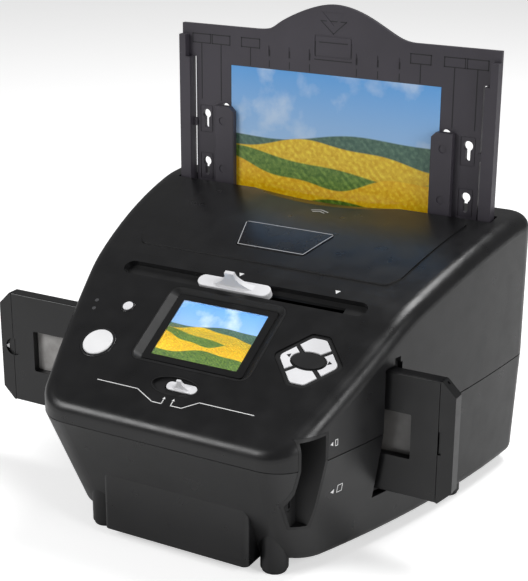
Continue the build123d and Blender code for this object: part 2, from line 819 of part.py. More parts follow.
with BuildPart() as lcd_module:
    with BuildSketch(panel.offset(-SURROUND_T)):
        with Locations(LCD_AT):
            Rectangle(MODULE_W, MODULE_H)
    extrude(amount=-(BOARD_DEPTH - SURROUND_T))
    with BuildSketch(panel.offset(-module_top)):
        with Locations(LCD_AT):
            Rectangle(LCD_W + 0.6, LCD_H + 0.6)
    extrude(amount=-(SURROUND_T - module_top))
finish(lcd_module, "lcd_module")


def ring(place, bore, width):
    """Collar round a push button, held by a lip under the panel."""
    with BuildPart() as form:
        with BuildSketch(panel.offset(RING_PROUD)):
            with Locations(place):
                Circle(bore + width)
        extrude(amount=-(RING_PROUD + RING_T))
        fillet(form.faces().sort_by(panel_axis)[-1].edges(), RING_PROUD)
        with BuildSketch(panel.offset(-WALL)):
            with Locations(place):
                Circle(bore + width + RING_LIP)
        extrude(amount=-(RING_T - WALL))
        with BuildSketch(panel.offset(RING_PROUD)):
            with Locations(place):
                Circle(bore)
        extrude(amount=-(RING_PROUD + RING_T), mode=Mode.SUBTRACT)
    return form


def push_button(draw, proud, soft, plungers):
    """Cap with a retaining flange below the panel and a plunger under it."""
    with BuildPart() as form:
        with BuildSketch(panel.offset(proud)):
            draw(0.0)
        extrude(amount=-(proud + flange_depth))
        fillet(form.faces().sort_by(panel_axis)[-1].edges(), soft)
        with BuildSketch(panel.offset(-flange_depth)):
            draw(FLANGE_W)
        extrude(amount=-FLANGE_T)
        with BuildSketch(panel.offset(-flange_depth - FLANGE_T)):
            with Locations(plungers):
                Circle(PLUNGER_R)
        extrude(amount=-PLUNGER_H)
    return form


def scan_disc(grow=0.0):
    """Draw the large round button."""
    with Locations(SCAN_AT):
        Circle(SCAN_R + grow)


def power_disc(grow=0.0):
    """Draw the small round button."""
    with Locations(POWER_AT):
        Circle(POWER_R + grow)


finish(ring(SCAN_AT, SCAN_R + BUTTON_PLAY, SCAN_RING_W), "scan_ring")
finish(ring(POWER_AT, POWER_R + BUTTON_PLAY, POWER_RING_W), "power_ring")
finish(push_button(scan_disc, SCAN_PROUD, 0.7, SCAN_AT), "scan_button")
finish(push_button(power_disc, POWER_PROUD, 0.4, POWER_AT), "power_button")

with BuildPart() as keypad_plate:
    with BuildSketch(panel.offset(-KEYPAD_DROP)):
        keypad_outline()
    extrude(amount=-KEYPAD_T)
    with BuildSketch(panel.offset(-WALL)):
        keypad_outline(KEYPAD_LIP)
    extrude(amount=-(KEYPAD_DROP + KEYPAD_T - WALL))
    with BuildSketch(panel.offset(-KEYPAD_DROP / 4)):
        with Locations(KEYPAD_AT):
            Ellipse(HUB_W, HUB_H)
    extrude(amount=-KEYPAD_DROP)
    for direction in KEYS:
        with BuildSketch(panel):
            key_outline(direction, BUTTON_PLAY)
        extrude(amount=-(KEYPAD_DROP + KEYPAD_T), mode=Mode.SUBTRACT)
finish(keypad_plate, "keypad_plate")

for direction, (key_x, key_s) in KEYS.items():
    place = (KEYPAD_AT[0] + key_x, KEYPAD_AT[1] + key_s)
    finish(
        push_button(lambda grow: key_outline(direction, grow), KEY_PROUD - KEYPAD_DROP, 0.3, place),
        f"key_{direction}",
    )

# light pipes from the board to the two small lamps
with BuildPart() as indicator_lenses:
    with BuildSketch(panel.offset(FIT)):
        with Locations(*LAMP_AT):
            Circle(LAMP_R)
    extrude(amount=-(FIT + BOARD_DEPTH))
finish(indicator_lenses, "indicator_lenses")

# oval dish of the mode switch, with a slit for the stem of its lever
with BuildPart() as mode_dish:
    with BuildSketch(panel):
        with Locations(SWITCH_AT):
            Ellipse(DISH_W / 2, DISH_H / 2)
    extrude(amount=-DISH_T)
    with BuildSketch(panel):
        with Locations(SWITCH_AT):
            Ellipse(DISH_W / 2 - DISH_RIM, DISH_H / 2 - DISH_RIM)
    extrude(amount=-DISH_DROP, mode=Mode.SUBTRACT)
    with BuildSketch(panel.offset(-WALL)):
        with Locations(SWITCH_AT):
            Ellipse(DISH_W / 2 + RING_LIP, DISH_H / 2 + RING_LIP)
    extrude(amount=-(DISH_T - WALL))
    with BuildSketch(panel):
        with Locations(SWITCH_AT):
            Rectangle(LEVER_TRAVEL + LEVER_STEM_W + 4 * FIT, LEVER_STEM_T + 4 * FIT)
    extrude(amount=-DISH_T, mode=Mode.SUBTRACT)
finish(mode_dish, "mode_dish")

lever_at = (SWITCH_AT[0] + LEVER_OFF, SWITCH_AT[1])
tab_plane = Plane(origin=panel.origin, x_dir=(0, 1, 0), z_dir=(1, 0, 0))
with BuildPart() as mode_lever:
    with BuildSketch(panel.offset(LEVER_T + FIT - DISH_DROP)):
        with Locations(lever_at):
            SlotOverall(LEVER_W, LEVER_H)
    extrude(amount=-LEVER_T)
    # thumb tab, tapering upwards
    with BuildSketch(panel.offset(FIT + LEVER_T / 2 - DISH_DROP)):
        with Locations(lever_at):
            RectangleRounded(LEVER_TAB_W, LEVER_H - 1.6, 1.2)
    with BuildSketch(panel.offset(LEVER_TAB_H)):
        with Locations(lever_at):
            RectangleRounded(LEVER_TAB_W - 3.0, LEVER_H - 3.4, 0.8)
    loft()
    with BuildSketch(panel.offset(FIT - DISH_DROP)):
        with Locations(lever_at):
            Rectangle(LEVER_STEM_W, LEVER_STEM_T)
    extrude(amount=-(DISH_T - DISH_DROP + 2 * FIT + LEVER_FOOT_T))
    with BuildSketch(panel.offset(-DISH_T - FIT)):
        with Locations(lever_at):
            Rectangle(LEVER_STEM_W, LEVER_H - 1.0)
    extrude(amount=-LEVER_FOOT_T)
finish(mode_lever, "mode_lever")

# board that carries the switches, inside the slope of the panel
with BuildPart() as button_board:
    with BuildSketch(panel.offset(-BOARD_DEPTH)):
        with Locations((0, (BOARD_LOW_S + BOARD_HIGH_S) / 2)):
            Rectangle(2 * BOARD_HALF, BOARD_HIGH_S - BOARD_LOW_S)
        with Locations((SWITCH_AT[0], SWITCH_AT[1] + LEVER_H)):
            Rectangle(DISH_W + LEVER_H, 4 * LEVER_H)
        with Locations(*BOARD_POSTS):
            Circle(BOARD_SCREW_R + FIT, mode=Mode.SUBTRACT)
    extrude(amount=-BOARD_T)
    add(upper_form(WALL + PORT_PLAY, SHOULDER_R - WALL), mode=Mode.INTERSECT)
finish(button_board, "button_board")

with BuildPart() as board_screws:
    with BuildSketch(panel.offset(BOARD_SCREW_LEN - BOARD_DEPTH)):
        with Locations(*BOARD_POSTS):
            Circle(BOARD_SCREW_R)
    extrude(amount=-(BOARD_SCREW_LEN + BOARD_T))
    with BuildSketch(panel.offset(-BOARD_DEPTH - BOARD_T)):
        with Locations(*BOARD_POSTS):
            Circle(BOARD_SCREW_HEAD_R)
    extrude(amount=-BOARD_SCREW_R)
    for x, y in board_places:
        pillar(x, y, seat_top - BOARD_SCREW_LEN, seat_top + BOARD_T, BOARD_SCREW_R)
        pillar(x, y, seat_top + BOARD_T, seat_top + BOARD_T + BOARD_SCREW_R, BOARD_SCREW_HEAD_R)
finish(board_screws, "board_screws")

# push switches under the buttons and the slide switch under the lever
switch_places = [SCAN_AT, POWER_AT]
switch_places += [(KEYPAD_AT[0] + x, KEYPAD_AT[1] + s) for x, s in KEYS.values()]
with BuildPart() as panel_switches:
    with BuildSketch(panel.offset(-dome_top - DOME_H)):
        with Locations(*switch_places):
            Rectangle(SWITCH_BASE, SWITCH_BASE)
    extrude(amount=-(BOARD_DEPTH - dome_top - DOME_H))
    with BuildSketch(panel.offset(-dome_top)):
        with Locations(*switch_places):
            Circle(DOME_R)
    extrude(amount=-DOME_H)
    with BuildSketch(panel.offset(-DISH_T - LEVER_FOOT_T - 2 * FIT)):
        with Locations(SWITCH_AT):
            Rectangle(DISH_W / 2, LEVER_H)
    extrude(amount=-(BOARD_DEPTH - DISH_T - LEVER_FOOT_T - 2 * FIT))
finish(panel_switches, "panel_switches")

# track under the long slot, following the inside of the shell
slider_plane = panel.offset(SLIDER_PROUD)
with BuildPart() as slider_track:
    with BuildSketch(panel.offset(-WALL / 2)):
        with Locations((0, SLOT_S)):
            SlotOverall(2 * (SLOT_HALF + TRACK_RIM), SLOT_W + 2 * TRACK_RIM)
    extrude(amount=-(TRACK_BOTTOM - WALL / 2))
    add(inner_upper, mode=Mode.INTERSECT)
    with BuildSketch(panel):
        with Locations((0, SLOT_S)):
            SlotOverall(2 * SLOT_HALF, SLOT_W)
    extrude(amount=-(TRACK_BOTTOM - TRACK_FLOOR), mode=Mode.SUBTRACT)
    block(
        (SLIDER_X - STEM_LEN / 2 - STEM_PLAY, STEM_Y - STEM_T / 2 - STEM_PLAY, SEAM_Z),
        (
            SLIDER_X + SLIDER_TRAVEL + STEM_LEN / 2 + STEM_PLAY,
            STEM_Y + STEM_T / 2 + STEM_PLAY,
            CROWN_Z,
        ),
        mode=Mode.SUBTRACT,
    )
finish(slider_track, "slider_track")

carriage_top = ROD_Z + CARRIAGE_W / 2
with BuildPart() as slider_knob:
    with BuildSketch(slider_plane):
        with Locations((SLIDER_X, SLOT_S)):
            SlotOverall(SLIDER_LEN, SLIDER_W)
    extrude(amount=-SLIDER_T)
    with BuildSketch(panel):
        with Locations((SLIDER_X, SLOT_S)):
            SlotOverall(SLIDER_TAB_W, SLIDER_W - 1.6)
    with BuildSketch(panel.offset(SLIDER_TAB_H)):
        with Locations((SLIDER_X, SLOT_S)):
            SlotOverall(SLIDER_TAB_W / 2, SLIDER_W / 3)
    loft()
    block(
        (SLIDER_X - STEM_LEN / 2, STEM_Y - STEM_T / 2, carriage_top),
        (SLIDER_X + STEM_LEN / 2, STEM_Y + STEM_T / 2, stem_top),
    )
finish(slider_knob, "slider_knob")

light_back = sleeve_rear + RAIL_GAP + 0.5 + LIGHT_T
with BuildPart() as light_carriage:
    block(
        (SLIDER_X - CARRIAGE_HALF, ROD_Y - CARRIAGE_W / 2, ROD_Z - CARRIAGE_W / 2),
        (SLIDER_X + CARRIAGE_HALF, ROD_Y + CARRIAGE_W / 2, carriage_top),
    )
    block(
        (SLIDER_X - CARRIAGE_HALF, light_back, CARRIAGE_LOW),
        (SLIDER_X + CARRIAGE_HALF, light_back + CARRIAGE_T, ROD_Z),
    )
    # two long eyes ride on the rod, the middle is relieved
    block(
        (SLIDER_X - STEM_LEN / 2, ROD_Y - CARRIAGE_W, ROD_Z - CARRIAGE_W),
        (SLIDER_X + STEM_LEN / 2, ROD_Y + CARRIAGE_W, ROD_Z + ROD_R),
        mode=Mode.SUBTRACT,
    )
    crossbar(-reach, reach, ROD_Y, ROD_Z, ROD_R + ROD_PLAY, mode=Mode.SUBTRACT)
finish(light_carriage, "light_carriage")

with BuildPart() as film_light:
    block(
        (SLIDER_X - LIGHT_W / 2, light_back - LIGHT_T, film_z - LIGHT_H / 2),
        (SLIDER_X + LIGHT_W / 2, light_back, film_z + LIGHT_H / 2),
    )
    chamfer(film_light.faces().sort_by(Axis.Y)[0].edges(), 0.6)
finish(film_light, "film_light")

with BuildPart() as slider_rod:
    crossbar(-LUG_AT - LUG_W / 2, LUG_AT + LUG_W / 2, ROD_Y, ROD_Z, ROD_R)
finish(slider_rod, "slider_rod")

# ---------------------------------------------------------------- film sleeve
with BuildPart() as film_sleeve:
    block((-SLEEVE_HALF, sleeve_front, sleeve_low), (SLEEVE_HALF, sleeve_rear, sleeve_high))
    for side in (-1, 1):
        # collar that closes the passage behind the side wall
        block(
            (side * SLEEVE_HALF, entry_low_y - COLLAR_REST, entry_low_z - COLLAR_REST),
            (side * REAR_HALF, entry_high_y + COLLAR_REST, entry_high_z + 2 * COLLAR_REST),
        )
        block(
            (side * (WEB_AT - WEB_T), sleeve_front + 1, floor_top),
            (side * WEB_AT, sleeve_rear - 1, sleeve_low),
        )
        block(
            (side * (LUG_AT - LUG_W / 2), sleeve_rear - 1, ROD_Z - LUG_H / 2),
            (side * (LUG_AT + LUG_W / 2), ROD_Y + LUG_H / 2, ROD_Z + LUG_H / 2),
        )
        block(
            (side * (LUG_AT - LUG_W / 2), sleeve_rear - 1, sleeve_high - LUG_H),
            (side * (LUG_AT + LUG_W / 2), sleeve_rear + 1, ROD_Z + LUG_H / 2),
        )
    # ledge and lip that guide the foot of the light carriage
    block(
        (SLIDER_X - CARRIAGE_HALF - 1, sleeve_rear, CARRIAGE_LOW - RAIL_GAP - WEB_T),
        (
            SLIDER_X + CARRIAGE_HALF + SLIDER_TRAVEL + 1,
            light_back + CARRIAGE_T + RAIL_GAP + WEB_T / 2,
            CARRIAGE_LOW - RAIL_GAP,
        ),
    )
    block(
        (SLIDER_X - CARRIAGE_HALF - 1, light_back + CARRIAGE_T + RAIL_GAP, CARRIAGE_LOW - WEB_T),
        (
            SLIDER_X + CARRIAGE_HALF + SLIDER_TRAVEL + 1,
            light_back + CARRIAGE_T + RAIL_GAP + WEB_T / 2,
            CARRIAGE_LOW + WEB_T,
        ),
    )
    add(inner_hull.part, mode=Mode.INTERSECT)
    block(
        (-reach, HOLDER_Y - SLEEVE_PLAY, HOLDER_Z - SLEEVE_PLAY),
        (reach, holder_back + SLEEVE_PLAY, HOLDER_Z + HOLDER_H + SLEEVE_PLAY),
        mode=Mode.SUBTRACT,
    )
    block(
        (SLIDER_X - GATE_W / 2, sleeve_front - 1, film_z - GATE_H / 2),
        (SLIDER_X + GATE_W / 2, sleeve_rear + 1, film_z + GATE_H / 2),
        mode=Mode.SUBTRACT,
    )
    crossbar(-reach, reach, ROD_Y, ROD_Z, ROD_R, mode=Mode.SUBTRACT)
finish(film_sleeve, "film_sleeve")

# ---------------------------------------------------------------- film holder
holder_low_x = HOLDER_X - HOLDER_LEN / 2
holder_high_x = HOLDER_X + HOLDER_LEN / 2
lid_low_x = holder_low_x + END_STRIP + LID_GAP
lid_high_x = holder_high_x - END_STRIP - LID_GAP
hinge_z = HOLDER_Z + HOLDER_H - HINGE_R
window_places = [
    (HOLDER_X + (i - (FRAMES - 1) / 2) * FRAME_PITCH, film_z) for i in range(FRAMES)
]
knuckle = HINGE_LEN / 6


def holder_windows():
    """Draw the row of film windows."""
    with Locations(*window_places):
        RectangleRounded(FRAME_W, FRAME_H, 0.8)


def hinge_pockets():
    """Clear the room for the hinge barrels."""
    for side in (-1, 1):
        middle = HOLDER_X + side * HINGE_AT
        block(
            (middle - HINGE_LEN / 2, lid_back - HINGE_R - LID_GAP, hinge_z - HINGE_R - LID_GAP),
            (middle + HINGE_LEN / 2, lid_back + HINGE_R + LID_GAP, HOLDER_Z + HOLDER_H + 1),
            mode=Mode.SUBTRACT,
        )


def hinge_barrel(low_x, high_x, deep):
    """One knuckle on the pin line, tied to the wall deep away from it."""
    crossbar(low_x, high_x, lid_back, hinge_z, HINGE_R)
    block((low_x, lid_back, hinge_z - HINGE_R), (high_x, lid_back + deep, hinge_z + HINGE_R))


with BuildPart() as holder_base:
    with BuildSketch(Plane.XZ.offset(-HOLDER_Y)):
        with Locations((HOLDER_X, film_z)):
            Rectangle(HOLDER_LEN, HOLDER_H)
        chamfer(vertices(), HOLDER_CUT)
    extrude(amount=-HOLDER_T)
    block(
        (holder_low_x + END_STRIP, HOLDER_Y - 1, HOLDER_Z - 1),
        (holder_high_x - END_STRIP, lid_back, HOLDER_Z + HOLDER_H + 1),
        mode=Mode.SUBTRACT,
    )
    with BuildSketch(Plane.XZ.offset(-HOLDER_Y)):
        holder_windows()
    extrude(amount=-HOLDER_T, mode=Mode.SUBTRACT)
    # bed of the film strip
    block(
        (HOLDER_X - film_half, lid_back - 1, film_z - FILM_W / 2 - FIT),
        (HOLDER_X + film_half, lid_back + FILM_T, film_z + FILM_W / 2 + FIT),
        mode=Mode.SUBTRACT,
    )
    # latch recess on the right strip, thumb recess on the left one
    block(
        (holder_high_x - END_STRIP - 1, HOLDER_Y - 1, film_z - 6),
        (holder_high_x - END_STRIP + 1.6, HOLDER_Y + 1.2, film_z + 6),
        mode=Mode.SUBTRACT,
    )
    with Locations((holder_low_x + END_STRIP, HOLDER_Y, film_z)):
        Cylinder(THUMB_R, 2.4, rotation=(90, 0, 0), mode=Mode.SUBTRACT)
    hinge_pockets()
    for side in (-1, 1):
        middle = HOLDER_X + side * HINGE_AT
        hinge_barrel(middle - knuckle + LID_GAP, middle + knuckle - LID_GAP, HINGE_R + 2 * LID_GAP)
    crossbar(-reach, reach, lid_back, hinge_z, HINGE_PIN_R, mode=Mode.SUBTRACT)
finish(holder_base, "holder_base")

with BuildPart() as holder_lid:
    block((lid_low_x, HOLDER_Y, HOLDER_Z), (lid_high_x, lid_back, HOLDER_Z + HOLDER_H))
    fillet(holder_lid.edges().filter_by(Axis.X).group_by(Axis.Y)[0], 0.8)
    with BuildSketch(Plane.XZ.offset(-HOLDER_Y)):
        holder_windows()
    extrude(amount=-HOLDER_T, mode=Mode.SUBTRACT)
    with Locations((lid_low_x, HOLDER_Y, film_z)):
        Cylinder(THUMB_R, 2.4, rotation=(90, 0, 0), mode=Mode.SUBTRACT)
    hinge_pockets()
    for side in (-1, 1):
        middle = HOLDER_X + side * HINGE_AT
        for end in (-1, 1):
            hinge_barrel(
                middle + end * (knuckle + LID_GAP),
                middle + end * (HINGE_LEN / 2 - LID_GAP),
                -HINGE_R - 2 * LID_GAP,
            )
    crossbar(-reach, reach, lid_back, hinge_z, HINGE_PIN_R, mode=Mode.SUBTRACT)
finish(holder_lid, "holder_lid")

with BuildPart() as holder_hinge_pins:
    for side in (-1, 1):
        middle = HOLDER_X + side * HINGE_AT
        crossbar(
            middle - HINGE_LEN / 2 + LID_GAP,
            middle + HINGE_LEN / 2 - LID_GAP,
            lid_back,
            hinge_z,
            HINGE_PIN_R,
        )
finish(holder_hinge_pins, "holder_hinge_pins")

with BuildPart() as film_strip:
    block(
        (HOLDER_X - film_half + FIT, lid_back, film_z - FILM_W / 2),
        (HOLDER_X + film_half - FIT, lid_back + FILM_T, film_z + FILM_W / 2),
    )
finish(film_strip, "film_strip")

# ---------------------------------------------------------------- print tray


def keyhole(x, top):
    """Draw one keyhole, wide at the top with a neck below."""
    low = top - KEYHOLE_LEN + KEYHOLE_NECK / 2
    with Locations((x, top - KEYHOLE_R)):
        Circle(KEYHOLE_R)
    with Locations((x, low)):
        Circle(KEYHOLE_NECK / 2)
    with Locations((x, (low + top - KEYHOLE_R) / 2)):
        Rectangle(KEYHOLE_NECK, top - KEYHOLE_R - low)


tray_face = Plane.XZ.offset(-TRAY_Y)
with BuildPart() as tray_plate:
    with BuildSketch(tray_face):
        with BuildLine() as outline:
            Polyline(
                (-CREST_HALF, TRAY_SHOULDER),
                (-TRAY_HALF, TRAY_SHOULDER),
                (-TRAY_HALF, TRAY_BOTTOM),
                (TRAY_HALF, TRAY_BOTTOM),
                (TRAY_HALF, TRAY_SHOULDER),
                (CREST_HALF, TRAY_SHOULDER),
            )
            Spline(
                (CREST_HALF, TRAY_SHOULDER),
                (CREST_HALF * 0.7, TRAY_SHOULDER + 0.27 * crest_rise),
                (CREST_HALF * 0.42, TRAY_SHOULDER + 0.7 * crest_rise),
                (0, TRAY_CREST),
                (-CREST_HALF * 0.42, TRAY_SHOULDER + 0.7 * crest_rise),
                (-CREST_HALF * 0.7, TRAY_SHOULDER + 0.27 * crest_rise),
                (-CREST_HALF, TRAY_SHOULDER),
                tangents=((-1, 0), (-1, 0)),
            )
        make_face(outline.edges())
        for side in (-1, 1):
            fillet(vertices().sort_by_distance((side * TRAY_HALF, TRAY_Y, TRAY_SHOULDER))[0], TRAY_CORNER_R)
            chamfer(vertices().sort_by_distance((side * TRAY_HALF, TRAY_Y, TRAY_BOTTOM))[0], 1.2)
    extrude(amount=-TRAY_T)
    for side in (-1, 1):
        block(
            (side * (TRAY_HALF - RAIL_W), TRAY_Y - RAIL_FORWARD, TRAY_BOTTOM + 1.2),
            (side * TRAY_HALF, TRAY_Y, RAIL_TOP),
        )
        block(
            (side * (TRAY_HALF - RAIL_W * 0.6), TRAY_Y - RAIL_FORWARD, RAIL_TOP),
            (side * TRAY_HALF, TRAY_Y, TRAY_SHOULDER - TRAY_CORNER_R),
        )
    block(
        (-LEDGE_HALF, TRAY_Y - LEDGE_DEEP, LEDGE_Z),
        (LEDGE_HALF, TRAY_Y, LEDGE_Z + LEDGE_H),
    )
    with BuildSketch(tray_face):
        for side in (-1, 1):
            with Locations((side * SLIT_X, (SLIT_LOW + RAIL_TOP) / 2)):
                Rectangle(SLIT_W, RAIL_TOP - SLIT_LOW)
            for x in COLUMNS:
                for top in KEYHOLE_TOPS:
                    keyhole(side * x, top + (GUIDED_LIFT if x == guided_x else 0))
    extrude(amount=-TRAY_T, mode=Mode.SUBTRACT)
    # catches bridge the slits
    for side in (-1, 1):
        block(
            (side * (SLIT_X - 1.8), TRAY_Y - 1.0, CATCH_Z - 2),
            (side * (SLIT_X + 3.0), tray_back, CATCH_Z + 2),
        )
    # shallow strips round the outer columns, and plain marks on the head
    with BuildSketch(tray_face):
        for side in (-1, 1):
            for top in KEYHOLE_TOPS:
                with Locations((side * COLUMNS[2], top - KEYHOLE_LEN / 2)):
                    RectangleRounded(MARK_STRIP_W, KEYHOLE_LEN + 5, 1.0)
                    RectangleRounded(MARK_STRIP_W - 1.2, KEYHOLE_LEN + 3.8, 0.6, mode=Mode.SUBTRACT)
            for x in MARK_TICKS:
                with Locations((side * x, MARK_Z)):
                    Rectangle(1.0, 6.0)
        with Locations((0, MARK_Z + 5.5)):
            RectangleRounded(22.6, 12.0, 1.0)
            RectangleRounded(21.0, 10.4, 0.6, mode=Mode.SUBTRACT)
        with Locations((0, MARK_Z + 20.5)):
            Polygon((-7.0, 3.5), (7.0, 3.5), (0, -3.5), align=None)
    extrude(amount=-MARK_DEEP, mode=Mode.SUBTRACT)
finish(tray_plate, "tray_plate")

with BuildPart() as photo_print:
    block(
        (-PRINT_W / 2, TRAY_Y - PRINT_T, print_bottom),
        (PRINT_W / 2, TRAY_Y, print_bottom + PRINT_H),
    )
finish(photo_print, "photo_print")

guide_back = TRAY_Y - FIT
guide_inner = PRINT_W / 2 + FIT
for side, name in ((-1, "left"), (1, "right")):
    with BuildPart() as print_guide:
        block(
            (side * guide_inner, TRAY_Y - GUIDE_T, print_bottom + LID_GAP),
            (side * (guide_inner + GUIDE_W - GUIDE_LIP), guide_back, GUIDE_TOP),
        )
        block(
            (side * (guide_inner - GUIDE_LIP), TRAY_Y - GUIDE_T, print_bottom + LID_GAP),
            (side * guide_inner, TRAY_Y - PRINT_T - 2 * FIT, GUIDE_TOP),
        )
        chamfer(
            print_guide.edges()
            .filter_by(Axis.Y)
            .sort_by_distance((side * (guide_inner - GUIDE_LIP), TRAY_Y, GUIDE_TOP))[0],
            GUIDE_LIP - 0.6,
        )
        fillet(print_guide.edges().filter_by(Axis.Z).group_by(Axis.Y)[0], 0.8)
        for top in KEYHOLE_TOPS:
            stud_z = top + GUIDED_LIFT - KEYHOLE_LEN + KEYHOLE_NECK / 2
            with Locations((side * guided_x, (guide_back + tray_back) / 2, stud_z)):
                Cylinder(STUD_R, tray_back - guide_back + 4 * FIT, rotation=(90, 0, 0))
            with Locations((side * guided_x, tray_back + FIT + STUD_HEAD_T / 2, stud_z)):
                Cylinder(STUD_HEAD_R, STUD_HEAD_T, rotation=(90, 0, 0))
            # round dimple on the face over each stud
            with Locations((side * guided_x, TRAY_Y - GUIDE_T, stud_z)):
                Cylinder(STUD_HEAD_R, 1.0, rotation=(90, 0, 0), mode=Mode.SUBTRACT)
    finish(print_guide, f"print_guide_{name}")

# channels that hold the edges of the tray, from the floor to under the roof
for side, name in ((-1, "left"), (1, "right")):
    with BuildPart() as tray_channel:
        outer_x = TRAY_HALF + CHANNEL_PLAY + CHANNEL_WALL
        block(
            (side * (outer_x - CHANNEL_DEEP - CHANNEL_WALL), channel_front - CHANNEL_WALL, floor_top),
            (side * outer_x, channel_rear + CHANNEL_WALL, CROWN_Z),
        )
        block(
            (0, channel_front, floor_top + CHANNEL_WALL),
            (side * (TRAY_HALF + CHANNEL_PLAY), channel_rear, CROWN_Z),
            mode=Mode.SUBTRACT,
        )
        add(inner_hull.part, mode=Mode.INTERSECT)
    finish(tray_channel, f"tray_channel_{name}")

# ---------------------------------------------------------------- ports
with BuildPart() as port_liner:
    with BuildSketch(Plane.XY.offset(PORT_BOTTOM - LINER_WALL)):
        port_outline(LINER_WALL)
    extrude(amount=PORT_TOP - PORT_BOTTOM + 2 * LINER_WALL)
    add(port_pocket.part, mode=Mode.SUBTRACT)
    add(outer_hull.part, mode=Mode.INTERSECT)
    block(
        (PORT_X - 2 * LINER_WALL, PORT_Y - USB_H / 2 - FIT, USB_Z - USB_W / 2 - FIT),
        (PORT_X + 1, PORT_Y + USB_H / 2 + FIT, USB_Z + USB_W / 2 + FIT),
        mode=Mode.SUBTRACT,
    )
    block(
        (PORT_X - 2 * LINER_WALL, PORT_Y - CARD_W / 2 - FIT, CARD_Z - CARD_H / 2 - FIT),
        (PORT_X + 1, PORT_Y + CARD_W / 2 + FIT, CARD_Z + CARD_H / 2 + FIT),
        mode=Mode.SUBTRACT,
    )
finish(port_liner, "port_liner")

board_face_y = PORT_Y + USB_H / 2
with BuildPart() as usb_socket:
    block(
        (PORT_X - SOCKET_DEEP, PORT_Y - USB_H / 2, USB_Z - USB_W / 2),
        (PORT_X - FIT, board_face_y, USB_Z + USB_W / 2),
    )
    fillet(usb_socket.edges().filter_by(Axis.X), 0.6)
    block(
        (PORT_X - SOCKET_DEEP / 2, PORT_Y - USB_H / 2 + SOCKET_WALL, USB_Z - USB_W / 2 + SOCKET_WALL),
        (PORT_X, board_face_y - SOCKET_WALL, USB_Z + USB_W / 2 - SOCKET_WALL),
        mode=Mode.SUBTRACT,
    )
    block(
        (PORT_X - SOCKET_DEEP / 2, PORT_Y - 0.5, USB_Z - USB_W / 4),
        (PORT_X - 1.0, PORT_Y + 0.5, USB_Z + USB_W / 4),
    )
finish(usb_socket, "usb_socket")

with BuildPart() as card_socket:
    block(
        (PORT_X - 1.5 * SOCKET_DEEP, PORT_Y - CARD_W / 2, CARD_Z - CARD_H / 2),
        (PORT_X - FIT, PORT_Y + CARD_W / 2, CARD_Z + CARD_H / 2),
    )
    block(
        (PORT_X - 1.5 * SOCKET_DEEP, PORT_Y + CARD_W / 2, CARD_Z - CARD_H / 2),
        (PORT_X - 2 * LINER_WALL, board_face_y, CARD_Z + CARD_H / 2),
    )
    block(
        (PORT_X - SOCKET_DEEP, PORT_Y - CARD_W / 2 + 0.6, CARD_Z - CARD_H / 2 + 0.8),
        (PORT_X, PORT_Y + CARD_W / 2 - 0.6, CARD_Z + CARD_H / 2 - 0.8),
        mode=Mode.SUBTRACT,
    )
finish(card_socket, "card_socket")

with BuildPart() as port_board:
    block(
        (PORT_X - 1.8 * SOCKET_DEEP, board_face_y, CARD_Z - CARD_H / 2 - 1),
        (PORT_X - 2 * LINER_WALL, board_face_y + BOARD_T, USB_Z + USB_W / 2 - 1),
    )
finish(port_board, "port_board")

# ---------------------------------------------------------------- imaging parts
camera_back = CAMERA_Y + CAMERA_DEEP
with BuildPart() as camera_module:
    block(
        (SLIDER_X - CAMERA_W / 2, CAMERA_Y, film_z - CAMERA_W / 2),
        (SLIDER_X + CAMERA_W / 2, camera_back, film_z + CAMERA_W / 2),
    )
    fillet(camera_module.edges().filter_by(Axis.Y), 1.5)
finish(camera_module, "camera_module")

with BuildPart() as camera_lens:
    with BuildSketch(Plane.XZ.offset(-camera_back)):
        with Locations((SLIDER_X, film_z)):
            Circle(LENS_R)
    extrude(amount=-LENS_LEN)
    with BuildSketch(Plane.XZ.offset(-camera_back - LENS_LEN)):
        with Locations((SLIDER_X, film_z)):
            Circle(LENS_R - 1.5)
    extrude(amount=2.0, mode=Mode.SUBTRACT)
finish(camera_lens, "camera_lens")

with BuildPart() as camera_bracket:
    block(
        (SLIDER_X - CAMERA_W / 2 - 2, camera_back, floor_top),
        (SLIDER_X + CAMERA_W / 2 + 2, camera_back + BRACKET_T, film_z + CAMERA_W / 2),
    )
    block(
        (SLIDER_X - CAMERA_W / 2 - 2, CAMERA_Y + 4, floor_top),
        (SLIDER_X + CAMERA_W / 2 + 2, camera_back + 10, floor_top + BRACKET_T),
    )
    with Locations((SLIDER_X, camera_back, film_z)):
        Cylinder(LENS_R + FIT, CAMERA_DEEP, rotation=(90, 0, 0), mode=Mode.SUBTRACT)
finish(camera_bracket, "camera_bracket")

for side, name in ((-1, "left"), (1, "right")):
    with BuildPart() as light_bar:
        block(
            (side * (LIGHT_BAR_X - LIGHT_BAR_W / 2), LIGHT_BAR_Y - LIGHT_BAR_W / 3, floor_top),
            (side * (LIGHT_BAR_X + LIGHT_BAR_W / 2), LIGHT_BAR_Y + LIGHT_BAR_W / 3, LIGHT_BAR_TOP),
        )
        # groove with the lamps, towards the tray
        block(
            (side * (LIGHT_BAR_X - LIGHT_BAR_W / 4), LIGHT_BAR_Y, floor_top + LIGHT_BAR_W),
            (side * (LIGHT_BAR_X + LIGHT_BAR_W / 4), LIGHT_BAR_Y + LIGHT_BAR_W, LIGHT_BAR_TOP - 4),
            mode=Mode.SUBTRACT,
        )
    finish(light_bar, f"light_bar_{name}")

with BuildPart() as main_board:
    with BuildSketch(Plane.XY.offset(seat_top)):
        with Locations((0, MAIN_BOARD_Y)):
            RectangleRounded(MAIN_BOARD[0], MAIN_BOARD[1], 3.0)
        with Locations(*board_places):
            Circle(BOARD_SCREW_R + FIT, mode=Mode.SUBTRACT)
    extrude(amount=BOARD_T)
finish(main_board, "main_board")

